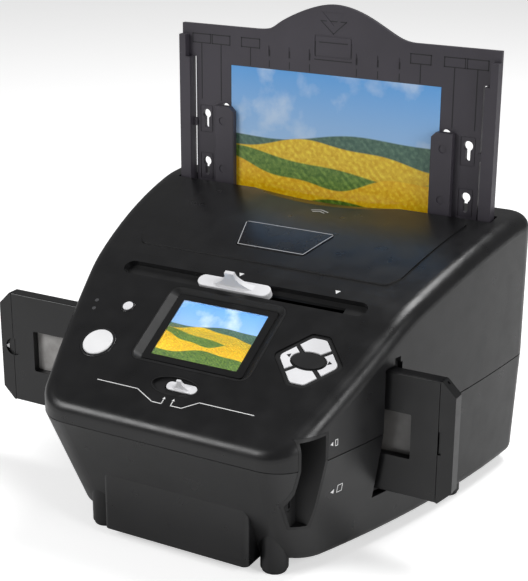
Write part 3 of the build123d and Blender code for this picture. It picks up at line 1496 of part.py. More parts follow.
with BuildPart() as board_chips:
    with BuildSketch(Plane.XY.offset(seat_top + BOARD_T)):
        with Locations((0, MAIN_BOARD_Y)):
            Rectangle(20.0, 20.0)
        with Locations((26.0, MAIN_BOARD_Y + 8)):
            Rectangle(12.0, 18.0)
        with Locations((-28.0, MAIN_BOARD_Y - 8)):
            Rectangle(14.0, 9.0)
    extrude(amount=1.8)
finish(board_chips, "board_chips")
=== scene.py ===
# %% [markdown]
# # A desktop scanner for prints and film
#
# The scanner is a black moulded housing with a sloping control panel. A film holder
# slides through its sides and a print tray stands up at the back. The solids come
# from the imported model, so this lesson gives them their finishes, adds the printed
# marks and the picture, and sets up the camera and the light.

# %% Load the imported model
import bpy
import bmesh
import json
import math
from mathutils import Matrix, Vector


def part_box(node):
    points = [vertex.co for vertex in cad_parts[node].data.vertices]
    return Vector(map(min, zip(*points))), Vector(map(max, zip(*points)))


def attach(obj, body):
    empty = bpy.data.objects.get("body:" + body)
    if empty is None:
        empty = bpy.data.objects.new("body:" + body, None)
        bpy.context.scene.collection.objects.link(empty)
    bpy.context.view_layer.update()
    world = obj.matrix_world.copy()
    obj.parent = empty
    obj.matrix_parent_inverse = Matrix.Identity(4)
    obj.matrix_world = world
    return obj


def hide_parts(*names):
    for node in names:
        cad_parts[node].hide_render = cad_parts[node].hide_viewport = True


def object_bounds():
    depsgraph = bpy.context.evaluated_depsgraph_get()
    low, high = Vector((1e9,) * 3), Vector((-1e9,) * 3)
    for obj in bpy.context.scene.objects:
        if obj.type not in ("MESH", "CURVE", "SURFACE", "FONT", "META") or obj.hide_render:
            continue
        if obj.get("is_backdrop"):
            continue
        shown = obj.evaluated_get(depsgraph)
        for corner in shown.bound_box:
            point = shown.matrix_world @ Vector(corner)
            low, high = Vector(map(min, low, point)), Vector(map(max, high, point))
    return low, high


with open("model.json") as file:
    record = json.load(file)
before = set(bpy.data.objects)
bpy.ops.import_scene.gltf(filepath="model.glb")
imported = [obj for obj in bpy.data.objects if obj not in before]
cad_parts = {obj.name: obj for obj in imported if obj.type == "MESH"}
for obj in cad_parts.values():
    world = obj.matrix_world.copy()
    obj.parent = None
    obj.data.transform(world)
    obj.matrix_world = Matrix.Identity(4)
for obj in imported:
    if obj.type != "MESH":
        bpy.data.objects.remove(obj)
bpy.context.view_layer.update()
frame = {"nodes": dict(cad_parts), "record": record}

MM = 0.001
scene = bpy.context.scene
scene.view_settings.view_transform = "Standard"

# %% [markdown]
# ## Camera
#
# The product shot was taken from the front right and a little above. The camera is
# placed on a line from its target, and its three axes are built from the angles, so
# the picture has the same perspective. The focal length is given for the long side
# of the image, because that is the side the sensor width belongs to.

# %% Camera at the photograph's angle
TARGET = Vector((-1.87, 4.0, 110.0)) * MM
AZIMUTH = math.radians(28.797)
ELEVATION = math.radians(19.351)
ROLL = math.radians(0.273)
DISTANCE = 746.79 * MM
FOCAL_PIXELS = 1419.41
LONG_SIDE = 581
SENSOR = 36.0
NEAREST, FARTHEST = 0.05, 60.0

camera = bpy.data.objects.new("camera", bpy.data.cameras.new("camera"))
scene.collection.objects.link(camera)
scene.camera = camera
camera.data.sensor_width = SENSOR
camera.data.lens = FOCAL_PIXELS * SENSOR / LONG_SIDE
camera.data.clip_start = NEAREST
camera.data.clip_end = FARTHEST

back = Vector((
    math.sin(AZIMUTH) * math.cos(ELEVATION),
    -math.cos(AZIMUTH) * math.cos(ELEVATION),
    math.sin(ELEVATION),
))
level_right = Vector((math.cos(AZIMUTH), math.sin(AZIMUTH), 0.0))
level_up = back.cross(level_right)
right = level_right * math.cos(ROLL) + level_up * math.sin(ROLL)
up = back.cross(right)
turn = Matrix((right, up, back)).transposed()
camera.matrix_world = Matrix.Translation(TARGET + back * DISTANCE) @ turn.to_4x4()
print("lens", round(camera.data.lens, 2), "mm at", tuple(camera.location))

# %% [markdown]
# ## Floor and background
#
# The scanner stands on a white sweep. A real sweep is paper that curves up behind
# the object; here a wide disc does it, with a world that is white only where the
# camera looks at it, straight or through glass. The disc glows a little for the
# camera alone. The light on the object stays at a plain level that way, and the
# floor still takes a soft shadow.

# %% Pale floor
FLOOR_RADIUS = 14.0
FLOOR_TONE = 0.86
FLOOR_ROUGHNESS = 0.9
FLOOR_GLOW = 0.52
WHITE = (1.0, 1.0, 1.0, 1.0)

floor_form = bmesh.new()
bmesh.ops.create_circle(floor_form, cap_ends=True, segments=96, radius=FLOOR_RADIUS)
floor_mesh = bpy.data.meshes.new("floor")
floor_form.to_mesh(floor_mesh)
floor_form.free()
floor = bpy.data.objects.new("floor", floor_mesh)
scene.collection.objects.link(floor)
floor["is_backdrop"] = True

# %% Paper of the floor, with its glow for the camera
paper = bpy.data.materials.new("paper")
paper.use_nodes = True
floor_mesh.materials.append(paper)
floor_nodes = paper.node_tree
floor_plain = floor_nodes.nodes["Principled BSDF"]
floor_plain.inputs["Base Color"].default_value = (FLOOR_TONE, FLOOR_TONE, FLOOR_TONE, 1.0)
floor_plain.inputs["Roughness"].default_value = FLOOR_ROUGHNESS
floor_path = floor_nodes.nodes.new("ShaderNodeLightPath")
floor_glow = floor_nodes.nodes.new("ShaderNodeEmission")
floor_glow.inputs["Color"].default_value = WHITE
floor_glow.inputs["Strength"].default_value = FLOOR_GLOW
floor_sum = floor_nodes.nodes.new("ShaderNodeAddShader")
floor_mix = floor_nodes.nodes.new("ShaderNodeMixShader")
floor_nodes.links.new(floor_plain.outputs[0], floor_sum.inputs[0])
floor_nodes.links.new(floor_glow.outputs[0], floor_sum.inputs[1])
floor_nodes.links.new(floor_path.outputs["Is Camera Ray"], floor_mix.inputs[0])
floor_nodes.links.new(floor_plain.outputs[0], floor_mix.inputs[1])
floor_nodes.links.new(floor_sum.outputs[0], floor_mix.inputs[2])
floor_nodes.links.new(floor_mix.outputs[0], floor_nodes.nodes["Material Output"].inputs[0])
print("floor radius", FLOOR_RADIUS, "m, glow", FLOOR_GLOW)

# %% World, white to the camera and through glass
WORLD_LIGHT = 0.17
world = bpy.data.worlds.new("studio")
scene.world = world
world.use_nodes = True
sky = world.node_tree
sky_light = sky.nodes["Background"]
sky_light.inputs["Color"].default_value = WHITE
sky_light.inputs["Strength"].default_value = WORLD_LIGHT
sky_white = sky.nodes.new("ShaderNodeBackground")
sky_white.inputs["Color"].default_value = WHITE
sky_path = sky.nodes.new("ShaderNodeLightPath")
seen = sky.nodes.new("ShaderNodeMath")
seen.operation = "MAXIMUM"
sky_mix = sky.nodes.new("ShaderNodeMixShader")
sky.links.new(sky_path.outputs["Is Camera Ray"], seen.inputs[0])
sky.links.new(sky_path.outputs["Is Transmission Ray"], seen.inputs[1])
sky.links.new(seen.outputs[0], sky_mix.inputs[0])
sky.links.new(sky_light.outputs[0], sky_mix.inputs[1])
sky.links.new(sky_white.outputs[0], sky_mix.inputs[2])
sky.links.new(sky_mix.outputs[0], sky.nodes["World Output"].inputs[0])
print("world light", WORLD_LIGHT)

# %% [markdown]
# ## Lights
#
# Black satin plastic shows its shape almost only by what it mirrors, so the lamps are
# large soft boxes. One stands front left, one lights the right side, and one hangs
# over the deck. Their size makes the long soft highlights along the edges.

# %% Three soft boxes: place, width and height in metres, and watts
LAMPS_AIM = Vector((0.0, 0.0, 0.09))
SOFT_BOXES = {
    "front_left": ((-0.95, -1.15, 0.95), 0.8, 0.6, 13.0),
    "right_side": ((1.35, -0.35, 0.65), 0.4, 0.8, 8.0),
    "overhead": ((0.30, 0.45, 1.40), 0.8, 0.5, 13.5),
}
for name, (place, wide, high, watts) in SOFT_BOXES.items():
    lamp = bpy.data.lights.new(name, "AREA")
    lamp.shape = "RECTANGLE"
    lamp.size = wide
    lamp.size_y = high
    lamp.energy = watts
    stand = bpy.data.objects.new(name, lamp)
    stand.location = place
    aim = LAMPS_AIM - Vector(place)
    stand.rotation_euler = aim.to_track_quat("-Z", "Y").to_euler()
    scene.collection.objects.link(stand)
print(len(SOFT_BOXES), "soft boxes")

# %% [markdown]
# ## A moulded finish
#
# Most pieces are injection moulded. Such a surface has a fine spark-eroded grain, a
# sheen that varies a little from place to place, and edges that catch the light. One
# helper builds the grain and the sheen: noise on Object coordinates drives the bump,
# the roughness and a slight change of tone, and each finish gives its own numbers.

# %% Helper for moulded finishes


class Finish:
    """A material under construction, with short ways to add and join nodes."""

    def __init__(self, name):
        self.material = bpy.data.materials.new(name)
        self.material.use_nodes = True
        self.tree = self.material.node_tree
        self.shader = self.tree.nodes["Principled BSDF"]
        self.place = self.add("ShaderNodeTexCoord").outputs["Object"]

    def add(self, kind, **settings):
        node = self.tree.nodes.new(kind)
        for key, value in settings.items():
            setattr(node, key, value)
        return node

    def join(self, output, socket):
        self.tree.links.new(output, socket)

    def noise(self, scale, detail=2.0):
        node = self.add("ShaderNodeTexNoise")
        node.inputs["Scale"].default_value = scale
        node.inputs["Detail"].default_value = detail
        self.join(self.place, node.inputs["Vector"])
        return node.outputs["Fac"]

    def spread(self, value, low, high):
        node = self.add("ShaderNodeMapRange")
        node.inputs["From Min"].default_value = 0.3
        node.inputs["From Max"].default_value = 0.7
        node.inputs["To Min"].default_value = low
        node.inputs["To Max"].default_value = high
        self.join(value, node.inputs["Value"])
        return node.outputs["Result"]

    def blend(self, value, first, second):
        node = self.add("ShaderNodeMix", data_type="RGBA")
        self.join(value, node.inputs[0])
        for item, socket in ((first, node.inputs[6]), (second, node.inputs[7])):
            if isinstance(item, tuple):
                socket.default_value = (*item, 1.0)
            else:
                self.join(item, socket)
        return node.outputs[2]

    def math(self, kind, *values):
        node = self.add("ShaderNodeMath", operation=kind)
        for item, socket in zip(values, node.inputs):
            if isinstance(item, (int, float)):
                socket.default_value = item
            else:
                self.join(item, socket)
        return node.outputs[0]

    def limit(self, value):
        return self.math("MINIMUM", self.math("MAXIMUM", value, 0.0), 1.0)

    def bump(self, height, distance):
        node = self.add("ShaderNodeBump")
        node.inputs["Distance"].default_value = distance
        node.inputs["Strength"].default_value = 0.5
        self.join(height, node.inputs["Height"])
        self.join(node.outputs["Normal"], self.shader.inputs["Normal"])


TONE_SCALE = 23.0
SHEEN_SCALE = 90.0
DARKER, LIGHTER, LIFT = 0.86, 1.14, 0.002


def moulded(name, colour, roughness, grain=1400.0, depth=0.00004,
            coat=0.0, spread=0.05, metal=0.0):
    """A moulded, brushed or cast surface with grain, uneven sheen and slight tone."""
    finish = Finish(name)
    tone = finish.spread(finish.noise(TONE_SCALE, 3.0), 0.0, 1.0)
    dark = tuple(c * DARKER for c in colour)
    light = tuple(min(1.0, c * LIGHTER + LIFT) for c in colour)
    finish.join(finish.blend(tone, dark, light), finish.shader.inputs["Base Color"])
    sheen = finish.spread(finish.noise(SHEEN_SCALE, 4.0), roughness - spread, roughness + spread)
    finish.join(sheen, finish.shader.inputs["Roughness"])
    finish.bump(finish.noise(grain), depth)
    finish.shader.inputs["Metallic"].default_value = metal
    finish.shader.inputs["Coat Weight"].default_value = coat
    return finish


# %% Finishes of the plain pieces
BLACK = (0.0062, 0.0062, 0.0068)
finishes = {
    "shell": moulded("shell_satin_black", BLACK, 0.32, grain=1900.0, depth=0.00003),
    "frame_dark": moulded("inner_black", (0.004, 0.004, 0.0045), 0.5, depth=0.00005),
    "tray": moulded("tray_violet_grey", (0.046, 0.041, 0.052), 0.42, grain=1500.0),
    "silver": moulded("silver_paint", (0.46, 0.47, 0.49), 0.34, metal=0.35),
    "bezel": moulded("bezel_gloss_black", (0.006, 0.006, 0.0065), 0.22, coat=0.3),
    "white": moulded("keys_white", (0.78, 0.78, 0.80), 0.38, grain=1600.0),
    "board": moulded("board_green", (0.02, 0.14, 0.06), 0.4, grain=500.0),
    "chip": moulded("chip_black", (0.016, 0.016, 0.017), 0.55),
    "steel": moulded("steel_zinc", (0.58, 0.58, 0.60), 0.3, metal=1.0),
    "rod": moulded("rod_chrome", (0.72, 0.72, 0.74), 0.12, metal=1.0, spread=0.03),
    "rubber": moulded("rubber_black", (0.014, 0.014, 0.014), 0.75, grain=900.0, depth=0.0001),
    "light": moulded("diffuser_white", (0.86, 0.87, 0.89), 0.45),
}

# %% Looks of single pieces, where they differ from their finish
looks = {
    "scan_button": moulded("button_white", (0.80, 0.80, 0.81), 0.32, grain=1600.0),
    "scan_ring": moulded("ring_black", (0.010, 0.010, 0.011), 0.25, coat=0.4),
    "indicator_lenses": moulded("lamp_smoke", (0.060, 0.060, 0.064), 0.2, coat=0.6),
    "ink_white": moulded("ink_white", (0.80, 0.80, 0.80), 0.5, grain=2600.0, depth=0.00001),
    "ink_dark_and_groove_shade": moulded("ink_dark_and_groove_shade", (0.010, 0.009, 0.012), 0.55, grain=2600.0, depth=0.00001),
}
looks["power_ring"] = looks["scan_ring"]
print(len(finishes), "moulded finishes and", len(looks), "looks of single pieces")

# %% [markdown]
# ## Glass, film and lens
#
# The window of the screen is clear, so it needs transmission. The film is a dark
# strip with a row of square holes along each edge, which repeat every 4.75 mm. The
# holes come from folding X back and forth with Ping-Pong, which costs no geometry.
# Soft grey blots stand for the pictures, and the film is painted darker to the right, as painted
# shade for the dark housing seen through it.

# %% Clear window and lens
window = Finish("screen_window")
window.shader.inputs["Base Color"].default_value = (0.97, 0.98, 0.99, 1.0)
window.shader.inputs["Transmission Weight"].default_value = 1.0
window.shader.inputs["IOR"].default_value = 1.25
window.join(window.spread(window.noise(60.0), 0.02, 0.06), window.shader.inputs["Roughness"])
finishes["window"] = window

lens = Finish("lens_coated")
lens.shader.inputs["Base Color"].default_value = (0.02, 0.02, 0.035, 1.0)
lens.shader.inputs["Coat Weight"].default_value = 1.0
lens.join(lens.spread(lens.noise(60.0), 0.05, 0.10), lens.shader.inputs["Roughness"])
finishes["lens_glass"] = lens

# %% Film strip with its rows of holes
FILM_CENTRE = Vector((-12.0, 0.0, 65.25)) * MM
HOLE_PITCH = 4.75 * MM
HOLE_ROW = 14.6 * MM
FRAME_PITCH = 38.0 * MM
HOLE_HALF = (1.0 * MM, 1.4 * MM)
PICTURE_HALF = (18.0 * MM, 12.0 * MM)
FILM_SHADE_SLOPE, FILM_SHADE_AT_CENTRE = 4.0, 0.35
SOFT_EDGE = 0.15 * MM


def split_axes(finish, centre):
    """Object coordinates about a centre, split into X, Y and Z."""
    shift = finish.add("ShaderNodeVectorMath", operation="SUBTRACT")
    shift.inputs[1].default_value = centre
    finish.join(finish.place, shift.inputs[0])
    axes = finish.add("ShaderNodeSeparateXYZ")
    finish.join(shift.outputs[0], axes.inputs[0])
    return axes.outputs


def inside(finish, value, half, soft=SOFT_EDGE):
    """One where a value is within half of zero, with a soft edge."""
    left = finish.math("SUBTRACT", half, finish.math("ABSOLUTE", value))
    return finish.limit(finish.math("DIVIDE", left, soft))


film = Finish("film_negative")
film_x, _, film_z = split_axes(film, FILM_CENTRE)
along = film.math("PINGPONG", film_x, HOLE_PITCH / 2)
across = film.math("SUBTRACT", film.math("ABSOLUTE", film_z), HOLE_ROW)
hole_x, hole_z = inside(film, along, HOLE_HALF[0]), inside(film, across, HOLE_HALF[1])
hole = film.math("MULTIPLY", hole_x, hole_z)
frame_x = film.math("SUBTRACT", film.math("PINGPONG", film_x, FRAME_PITCH), FRAME_PITCH / 2)
wide, high = inside(film, frame_x, PICTURE_HALF[0]), inside(film, film_z, PICTURE_HALF[1])
picture = film.math("MULTIPLY", wide, high)
blots = film.spread(film.noise(130.0, 3.0), 0.0, 1.0)
negative = film.blend(blots, (0.27, 0.26, 0.25), (0.42, 0.41, 0.40))
# Painted shade: the film darkens to the right, where the dark housing lies behind it.
painted_shade_right = film.limit(film.math("MULTIPLY_ADD", film_x, FILM_SHADE_SLOPE, FILM_SHADE_AT_CENTRE))
negative_with_shade = film.blend(painted_shade_right, negative, (0.075, 0.072, 0.070))
strip = film.blend(picture, (0.10, 0.070, 0.050), negative_with_shade)
film.join(film.blend(hole, strip, (0.012, 0.012, 0.012)), film.shader.inputs["Base Color"])
film.shader.inputs["Roughness"].default_value = 0.18
finishes["film"] = film
print("film holes every", HOLE_PITCH / MM, "mm")

# %% [markdown]
# ## The picture
#
# The print in the tray and the screen show the same sunny landscape: a pale blue sky
# with thin cloud over yellow fields. It is drawn in nodes. Each field is a line
# over X, made of two sine waves, and everything below that line takes the field's
# colour. Farther fields are drawn first, so nearer ones lie over them. Noise and a
# wave pattern together give the crops their rows, and the screen glows a little.

# %% Edge of a field
RIDGE_SOFT = 0.008
FAST_SHARE = 0.3


def ridge(finish, x, z, height, swing, period, phase):
    """One below a wavy line across the picture, with a soft edge."""
    slow = finish.math("SINE", finish.math("MULTIPLY_ADD", x, 2 * math.pi / period, phase))
    fast = finish.math("SINE", finish.math("MULTIPLY_ADD", x, 5.3 * math.pi / period, 2 * phase))
    wave = finish.math("MULTIPLY_ADD", fast, FAST_SHARE, slow)
    line = finish.math("MULTIPLY_ADD", wave, swing, height)
    return finish.limit(finish.math("DIVIDE", finish.math("SUBTRACT", line, z), RIDGE_SOFT))


# %% Landscape drawn with nodes: height, swing, period, phase and two colours of each field
FIELDS = (
    (0.60, 0.040, 3.1, 0.4, (0.05, 0.12, 0.09), (0.12, 0.22, 0.15)),
    (0.53, 0.045, 2.3, 1.9, (0.72, 0.42, 0.01), (0.95, 0.72, 0.05)),
    (0.43, 0.050, 2.9, 3.6, (0.07, 0.16, 0.02), (0.22, 0.36, 0.06)),
    (0.35, 0.060, 2.0, 5.0, (0.78, 0.40, 0.00), (1.00, 0.70, 0.03)),
    (0.16, 0.055, 2.7, 0.9, (0.04, 0.10, 0.01), (0.18, 0.30, 0.04)),
)
SKY_LOW, SKY_HIGH, CLOUD = (0.62, 0.78, 0.92), (0.12, 0.38, 0.80), (0.84, 0.91, 0.97)
CLOUD_SCALE, CROP_SCALE, ROW_SCALE = 0.11, 1.6, 0.5


def landscape(finish, x, z, grain_scale):
    """Colour of the landscape; x and z run from -1 to 1 and from 0 to 1."""
    sky_colour = finish.blend(finish.limit(z), SKY_LOW, SKY_HIGH)
    cloud = finish.spread(finish.noise(grain_scale * CLOUD_SCALE, 5.0), -0.75, 0.75)
    colour = finish.blend(finish.math("MAXIMUM", cloud, 0.0), sky_colour, CLOUD)
    crops = finish.spread(finish.noise(grain_scale * CROP_SCALE, 8.0), -0.2, 1.2)
    rows = finish.add("ShaderNodeTexWave", wave_type="BANDS", bands_direction="DIAGONAL")
    rows.inputs["Scale"].default_value = grain_scale * ROW_SCALE
    rows.inputs["Distortion"].default_value = 3.0
    finish.join(finish.place, rows.inputs["Vector"])
    crops = finish.math("MULTIPLY", crops, finish.spread(rows.outputs["Fac"], 0.55, 1.0))
    for height, swing, period, phase, dark, light in FIELDS:
        patch = finish.blend(crops, dark, light)
        edge = ridge(finish, x, z, height, swing, period, phase)
        colour = finish.blend(edge, colour, patch)
    return colour


# %% The landscape on the print and on the screen
PRINT_GRAIN = 260.0
SCREEN_GRAIN = 620.0
ORIGIN = (0.0, 0.0, 0.0)


def picture_on(finish, node_name, grain_scale):
    """The landscape fitted to a node's box: x from -1 to 1, z from 0 to 1."""
    low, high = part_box(node_name)
    wide, tall = high[0] - low[0], high[2] - low[2]
    along, _, height = split_axes(finish, ORIGIN)
    x = finish.math("MULTIPLY_ADD", along, 2 / wide, -(low[0] + high[0]) / wide)
    z = finish.math("MULTIPLY_ADD", height, 1 / tall, -low[2] / tall)
    return landscape(finish, x, z, grain_scale)


printed = Finish("print_landscape")
printed_colour = picture_on(printed, "photo_print", PRINT_GRAIN)
printed.join(printed_colour, printed.shader.inputs["Base Color"])
printed.shader.inputs["Roughness"].default_value = 0.22
finishes["print"] = printed

screen = Finish("screen_landscape")
screen_colour = picture_on(screen, "lcd_window", SCREEN_GRAIN)
screen.join(screen_colour, screen.shader.inputs["Base Color"])
screen.join(screen_colour, screen.shader.inputs["Emission Color"])
screen.shader.inputs["Emission Strength"].default_value = 0.35
screen.shader.inputs["Roughness"].default_value = 0.3
finishes["screen"] = screen
print(len(FIELDS), "fields in the landscape")

# %% [markdown]
# ## The bare plate on the deck
#
# The plate on the deck is black with a thin pale line just inside its edge. The line
# is found from the distance to the four sides: the two long sides lie at a fixed Y
# and the other two lean out evenly, so their distance is a simple sum. Geometry as
# thin as this line would only flicker.

# %% Black plate with a pale outline
PLATE_FRONT = (20.0 * MM, 6.0 * MM)
PLATE_REAR = (27.5 * MM, 30.0 * MM)
OUTLINE_IN = 0.9 * MM
OUTLINE_W = 0.28 * MM
OUTLINE_SOFT = 0.1 * MM
OUTLINE_GREY = (0.42, 0.42, 0.43)
plate = moulded("plate_black", BLACK, 0.26)
plate_colour = plate.shader.inputs["Base Color"].links[0].from_socket
plate_x, plate_y, _ = split_axes(plate, ORIGIN)
lean = (PLATE_REAR[0] - PLATE_FRONT[0]) / (PLATE_REAR[1] - PLATE_FRONT[1])
half = plate.math("MULTIPLY_ADD", plate_y, lean, PLATE_FRONT[0] - lean * PLATE_FRONT[1])
edges = (
    plate.math("SUBTRACT", half, plate.math("ABSOLUTE", plate_x)),
    plate.math("SUBTRACT", plate_y, PLATE_FRONT[1]),
    plate.math("SUBTRACT", PLATE_REAR[1], plate_y),
)
nearest = plate.math("MINIMUM", plate.math("MINIMUM", edges[0], edges[1]), edges[2])
line = inside(plate, plate.math("SUBTRACT", nearest, OUTLINE_IN), OUTLINE_W, OUTLINE_SOFT)
outlined = plate.blend(line, plate_colour, OUTLINE_GREY)
plate.join(outlined, plate.shader.inputs["Base Color"])
looks["trim_plate"] = plate
print("outline", round(OUTLINE_IN / MM, 2), "mm inside the plate's edge")

# %% [markdown]
# ## Dressing the model
#
# Each solid of the model has a slot in the record that names its finish. A few pieces
# look different from the rest of their slot, so their own look comes first. Giving a
# solid a material leaves its shape as it is.

# %% Dress every node of the model
slot_of = {part["node"]: part["material_slot"] for part in frame["record"]["subparts"]}
for name, node in frame["nodes"].items():
    finish = looks.get(name, finishes[slot_of[name]])
    node.data.materials.clear()
    node.data.materials.append(finish.material)
print("dressed", len(slot_of), "nodes")

# %% [markdown]
# ## Printed marks
#
# Fine white marks are printed on the finished mouldings: pointers, and lines that
# lead to the mode switch. They have no lettering. Each is a flat shape drawn in the
# plane of its face, then every point is dropped onto the moulding with a ray, so the
# ink follows the surface, and a thin Solidify gives it its film of ink.

# %% Faces that carry marks


def face_frame(origin, across, out):
    """A matrix with X across a face, Y up it and Z out of it; origin is in mm."""
    across = Vector(across).normalized()
    out = Vector(out).normalized()
    turned = Matrix((across, out.cross(across), out)).transposed()
    return Matrix.Translation(Vector(origin) * MM) @ turned.to_4x4()


PANEL_TILT = math.radians(29.7)
PANEL_OUT = (0.0, -math.sin(PANEL_TILT), math.cos(PANEL_TILT))
TO_RIGHT = (1.0, 0.0, 0.0)
FACES = {
    "panel": face_frame((0.0, -56.0, 102.55), TO_RIGHT, PANEL_OUT),
    "deck": face_frame((5.9, 52.7, 142.4), TO_RIGHT, (0.0, -0.173, 0.985)),
    "tray": face_frame((0.0, 77.0, 0.0), TO_RIGHT, (0.0, -1.0, 0.0)),
    "holder": face_frame((0.0, -36.0, 0.0), TO_RIGHT, (0.0, -1.0, 0.0)),
    "side_low": face_frame((76.25, -70.4, 44.8), (0.306, 0.934, 0.0), (0.934, -0.306, -0.184)),
    "side_high": face_frame((78.5, -76.6, 73.1), (0.284, 0.959, 0.0), (0.959, -0.284, 0.0)),
}

# %% Helper that makes a piece from a finished form


def new_piece(name, form, look, body):
    """A piece with one look that rides on a body; the form is used up."""
    mesh = bpy.data.meshes.new(name)
    form.to_mesh(mesh)
    form.free()
    mesh.materials.append(look.material)
    piece = bpy.data.objects.new(name, mesh)
    scene.collection.objects.link(piece)
    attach(piece, body)
    return piece


# %% Helper that lays ink on a face
INK_LIFT = 0.03 * MM
INK_FILM = 0.04 * MM
RAY_START = 10.0 * MM
BAR_STEP = 3.0
INK_LINE = 0.45


def ink(name, face_name, carrier, body, lines=(), arrows=(), width=INK_LINE, look="ink_white"):
    """Printed lines and solid arrows, or dark lines of painted groove shade, in mm on a face,
    laid on a carrier's surface.
    """
    face = FACES[face_name]
    form = bmesh.new()
    for start, end in lines:
        run = Vector(end) - Vector(start)
        middle = (Vector(start) + Vector(end)) / 2
        steps = max(1, round(run.length / BAR_STEP))
        bar = bmesh.ops.create_grid(form, x_segments=steps, y_segments=1, size=0.5)["verts"]
        bmesh.ops.scale(form, vec=(run.length + width, width, 1.0), verts=bar)
        turn = Matrix.Rotation(math.atan2(run.y, run.x), 3, "Z")
        bmesh.ops.rotate(form, matrix=turn, verts=bar)
        bmesh.ops.translate(form, vec=middle.to_3d(), verts=bar)
    for centre, size, degrees in arrows:
        tip = bmesh.ops.create_circle(form, cap_ends=True, segments=3, radius=size)["verts"]
        turn = Matrix.Rotation(math.radians(degrees), 3, "Z")
        bmesh.ops.rotate(form, matrix=turn, verts=tip)
        bmesh.ops.translate(form, vec=(*centre, 0.0), verts=tip)
    out = face.to_3x3() @ Vector((0.0, 0.0, 1.0))
    node = frame["nodes"][carrier]
    for point in form.verts:
        start = face @ (point.co * MM) + out * RAY_START
        met, spot, _, _ = node.ray_cast(start, -out)
        point.co = (spot if met else start - out * RAY_START) + out * INK_LIFT
    form.normal_update()
    turned = [f for f in form.faces if f.normal.dot(out) < 0.0]
    bmesh.ops.reverse_faces(form, faces=turned)
    film_of_ink = new_piece(name, form, looks[look], body).modifiers.new("film", "SOLIDIFY")
    film_of_ink.thickness = INK_FILM
    film_of_ink.offset = 1.0
    print(name, "on", carrier)


# %% Marks on the panel, the ports, the film holder and the keys
UP, LEFT, DOWN, RIGHT = 0, 90, 180, 270


def path(*points):
    """The runs between neighbouring points."""
    return list(zip(points, points[1:]))


def frame_of(x, y, wide, high):
    """The four lines of a rectangle about a centre."""
    a, b = wide / 2, high / 2
    corners = [(x - a, y - b), (x + a, y - b), (x + a, y + b), (x - a, y + b)]
    return path(*corners, corners[0])


mode_left = path((-44.5, -36.7), (-21.0, -36.7), (-10.0, -42.0), (-4.6, -42.0), (-4.6, -39.6))
mode_right = path((43.5, -36.7), (14.0, -36.7), (6.6, -42.0), (0.6, -42.0), (0.6, -39.6))
ink("mark_mode_lines", "panel", "upper_shell", "housing", mode_left + mode_right, width=0.4)
ink("mark_mode_arrows", "panel", "upper_shell", "housing",
    arrows=[((-4.6, -38.7), 0.9, UP), ((0.6, -38.7), 0.9, UP)])
ink("mark_slider_stops", "panel", "upper_shell", "housing",
    arrows=[((-4.5, 46.0), 1.7, DOWN), ((50.3, 46.0), 1.7, DOWN)])
insert_far = path((-5.0, -0.4), (0.0, 1.4), (5.0, -0.4))
insert_near = path((-3.4, -1.9), (0.0, -0.6), (3.4, -1.9))
ink("mark_insert", "deck", "upper_shell", "housing", insert_far + insert_near, width=0.4)
ink("mark_card", "side_low", "lower_shell", "housing",
    frame_of(4.8, 1.2, 3.2, 4.0), [((0.2, 0.6), 1.5, LEFT)], width=0.35)
ink("mark_socket", "side_high", "upper_shell", "housing",
    frame_of(3.4, 0.0, 1.6, 3.0), [((0.4, 0.0), 1.2, LEFT)], width=0.35)
ink("mark_holder_way", "holder", "holder_base", "film_holder",
    arrows=[((-143.4, 65.0), 1.5, LEFT)])
ink("mark_key_left", "panel", "key_left", "key_left",
    arrows=[((44.2, 1.6), 1.4, LEFT)], look="ink_dark_and_groove_shade")
ink("mark_key_right", "panel", "key_right", "key_right",
    arrows=[((65.8, 1.6), 1.4, RIGHT)], look="ink_dark_and_groove_shade")

# %% [markdown]
# ## Lines on the head of the tray
#
# The tray shows where prints of each size go by short lines and small frames sunk in
# its head. They are so shallow that from a step away only their dark shade is seen,
# and a film of dark ink gives that shade without cutting the solid.

# %% Painted shade of the lines and frames sunk in the tray
TRAY_COLUMNS = (51.3, 70.4, 83.1)
TICKS = (14.2, 26.7, 39.3)
LINE_LOW, LINE_HIGH, LONG_LINE_LOW = 213.0, 222.5, 191.0
SIZE_FRAME = (225.5, 11.6, 5.0)
CENTRE_FRAME = (224.8, 22.0, 9.6)
ARROW_TIP, ARROW_TOP, ARROW_HALF = 234.5, 241.2, 7.6
tray_lines = []
for side in (-1, 1):
    for x in TICKS:
        tray_lines += path((side * x, LINE_LOW), (side * x, LINE_HIGH))
    for x in TRAY_COLUMNS:
        low = LONG_LINE_LOW if x > TRAY_COLUMNS[0] else LINE_LOW
        tray_lines += frame_of(side * x, *SIZE_FRAME)
        tray_lines += path((side * x, low), (side * x, LINE_HIGH))
tray_lines += frame_of(0.0, *CENTRE_FRAME)
arrow_tip = (0.0, ARROW_TIP)
arrow_ends = (ARROW_HALF, ARROW_TOP), (-ARROW_HALF, ARROW_TOP)
tray_lines += path(arrow_tip, *arrow_ends, arrow_tip)
# These dark lines are painted shade of the shallow grooves, not print.
ink("mark_tray_sizes", "tray", "tray_plate", "print_tray", tray_lines,
    width=0.55, look="ink_dark_and_groove_shade")
print(len(tray_lines), "lines on the tray")

# %% [markdown]
# ## Grips of the slider and the mode switch
#
# Both grips are one white moulding: a flat plate with round ends and a thin fin that
# flares out into it like a bell. The plate is a block with its four upright edges
# bevelled round. The fin starts as a finely divided block, whose sides are drawn in
# by a power of the height, which leaves a wide foot and a narrow top. A fine Bevel
# and weighted normals then soften the edges, as a mould does.

# %% Helper for the plate with round ends
END_ROUND = 0.495
RIM_ROUND = 0.4
TINY = 0.01


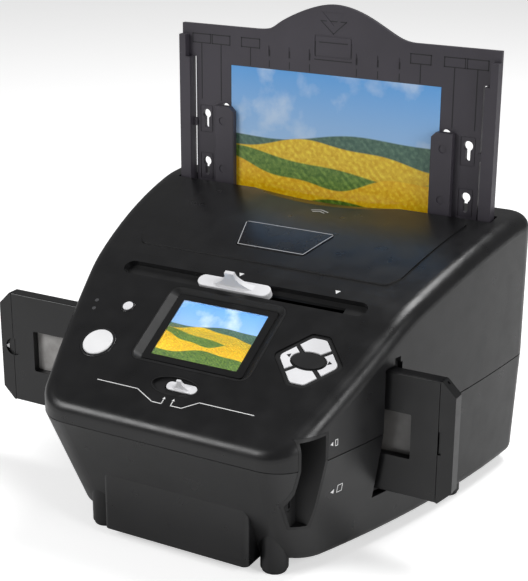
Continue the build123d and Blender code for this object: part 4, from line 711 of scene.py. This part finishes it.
def round_plate(form, wide, tall, sunk, proud):
    """A plate with round ends, from sunk below its face to proud above it."""
    bevel = {"affect": "EDGES", "profile": 0.5, "material": -1}
    block = bmesh.ops.create_cube(form, size=1.0)["verts"]
    bmesh.ops.scale(form, vec=(wide, tall, sunk + proud), verts=block)
    bmesh.ops.translate(form, vec=(0.0, 0.0, (proud - sunk) / 2), verts=block)
    upright = [e for e in form.edges if abs((e.verts[0].co - e.verts[1].co).z) > TINY]
    bmesh.ops.bevel(form, geom=upright, offset=tall * END_ROUND, segments=8, **bevel)
    rim = [e for e in form.edges if min(v.co.z for v in e.verts) > proud - TINY]
    bmesh.ops.bevel(form, geom=rim, offset=RIM_ROUND, segments=3, **bevel)


# %% Helper for the flared fin
FIN_CUTS = 9
FIN_SUNK = 0.3
FLARE_POWER = 2.6
TOP_THICK, FOOT_THICKER, THICK_POWER = 0.62, 0.5, 1.5
CROWN = 0.22


def flared_fin(form, proud, foot, top, high, thick):
    """A fin that stands on the plate, wide at its foot and narrow at its top."""
    fin = bmesh.new()
    bmesh.ops.create_cube(fin, size=1.0)
    bmesh.ops.subdivide_edges(fin, edges=fin.edges, cuts=FIN_CUTS, use_grid_fill=True)
    for point in fin.verts:
        rise = point.co.z + 0.5
        point.co.x *= top + (foot - top) * (1.0 - rise) ** FLARE_POWER
        point.co.y *= thick * (TOP_THICK + FOOT_THICKER * (1.0 - rise) ** THICK_POWER)
        point.co.z = proud - FIN_SUNK + high * rise
        point.co.z -= CROWN * high * rise * (2 * point.co.x / foot) ** 2
    fin_mesh = bpy.data.meshes.new("fin")
    fin.to_mesh(fin_mesh)
    fin.free()
    form.from_mesh(fin_mesh)
    bpy.data.meshes.remove(fin_mesh)


# %% The two grips: place on the panel, plate, fin, body and the solid each stands for
GRIP_SOFT = 0.15 * MM
GRIPS = {
    "slider_grip": ((-4.0, 37.0), (42.0, 7.4, 3.4, 0.5), (25.0, 5.4, 9.4, 3.2),
                    "slider", "slider_knob"),
    "mode_grip": ((0.5, -30.2), (17.0, 5.0, 1.3, -0.35), (11.0, 2.4, 5.6, 2.0),
                  "mode_lever", "mode_lever"),
}
for name, (centre, plate_sizes, fin_sizes, body, solid) in GRIPS.items():
    grip_form = bmesh.new()
    round_plate(grip_form, *plate_sizes)
    flared_fin(grip_form, plate_sizes[-1], *fin_sizes)
    grip_face = FACES["panel"] @ Matrix.Translation(Vector((*centre, 0.0)) * MM)
    to_panel = grip_face @ Matrix.Scale(MM, 4)
    bmesh.ops.transform(grip_form, matrix=to_panel, verts=grip_form.verts)
    bmesh.ops.recalc_face_normals(grip_form, faces=grip_form.faces)
    grip = new_piece(name, grip_form, finishes["white"], body)
    grip.data.shade_smooth()
    soft = grip.modifiers.new("edges", "BEVEL")
    soft.width = GRIP_SOFT
    soft.segments = 2
    soft.limit_method = "ANGLE"
    weights = grip.modifiers.new("shading", "WEIGHTED_NORMAL")
    weights.keep_sharp = True
    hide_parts(solid)
    print(name, "for", solid, len(grip.data.polygons), "faces")

# %% [markdown]
# ## Last step
#
# The box of the whole object is measured at the end.

# %% Sizes and finish
low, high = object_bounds()
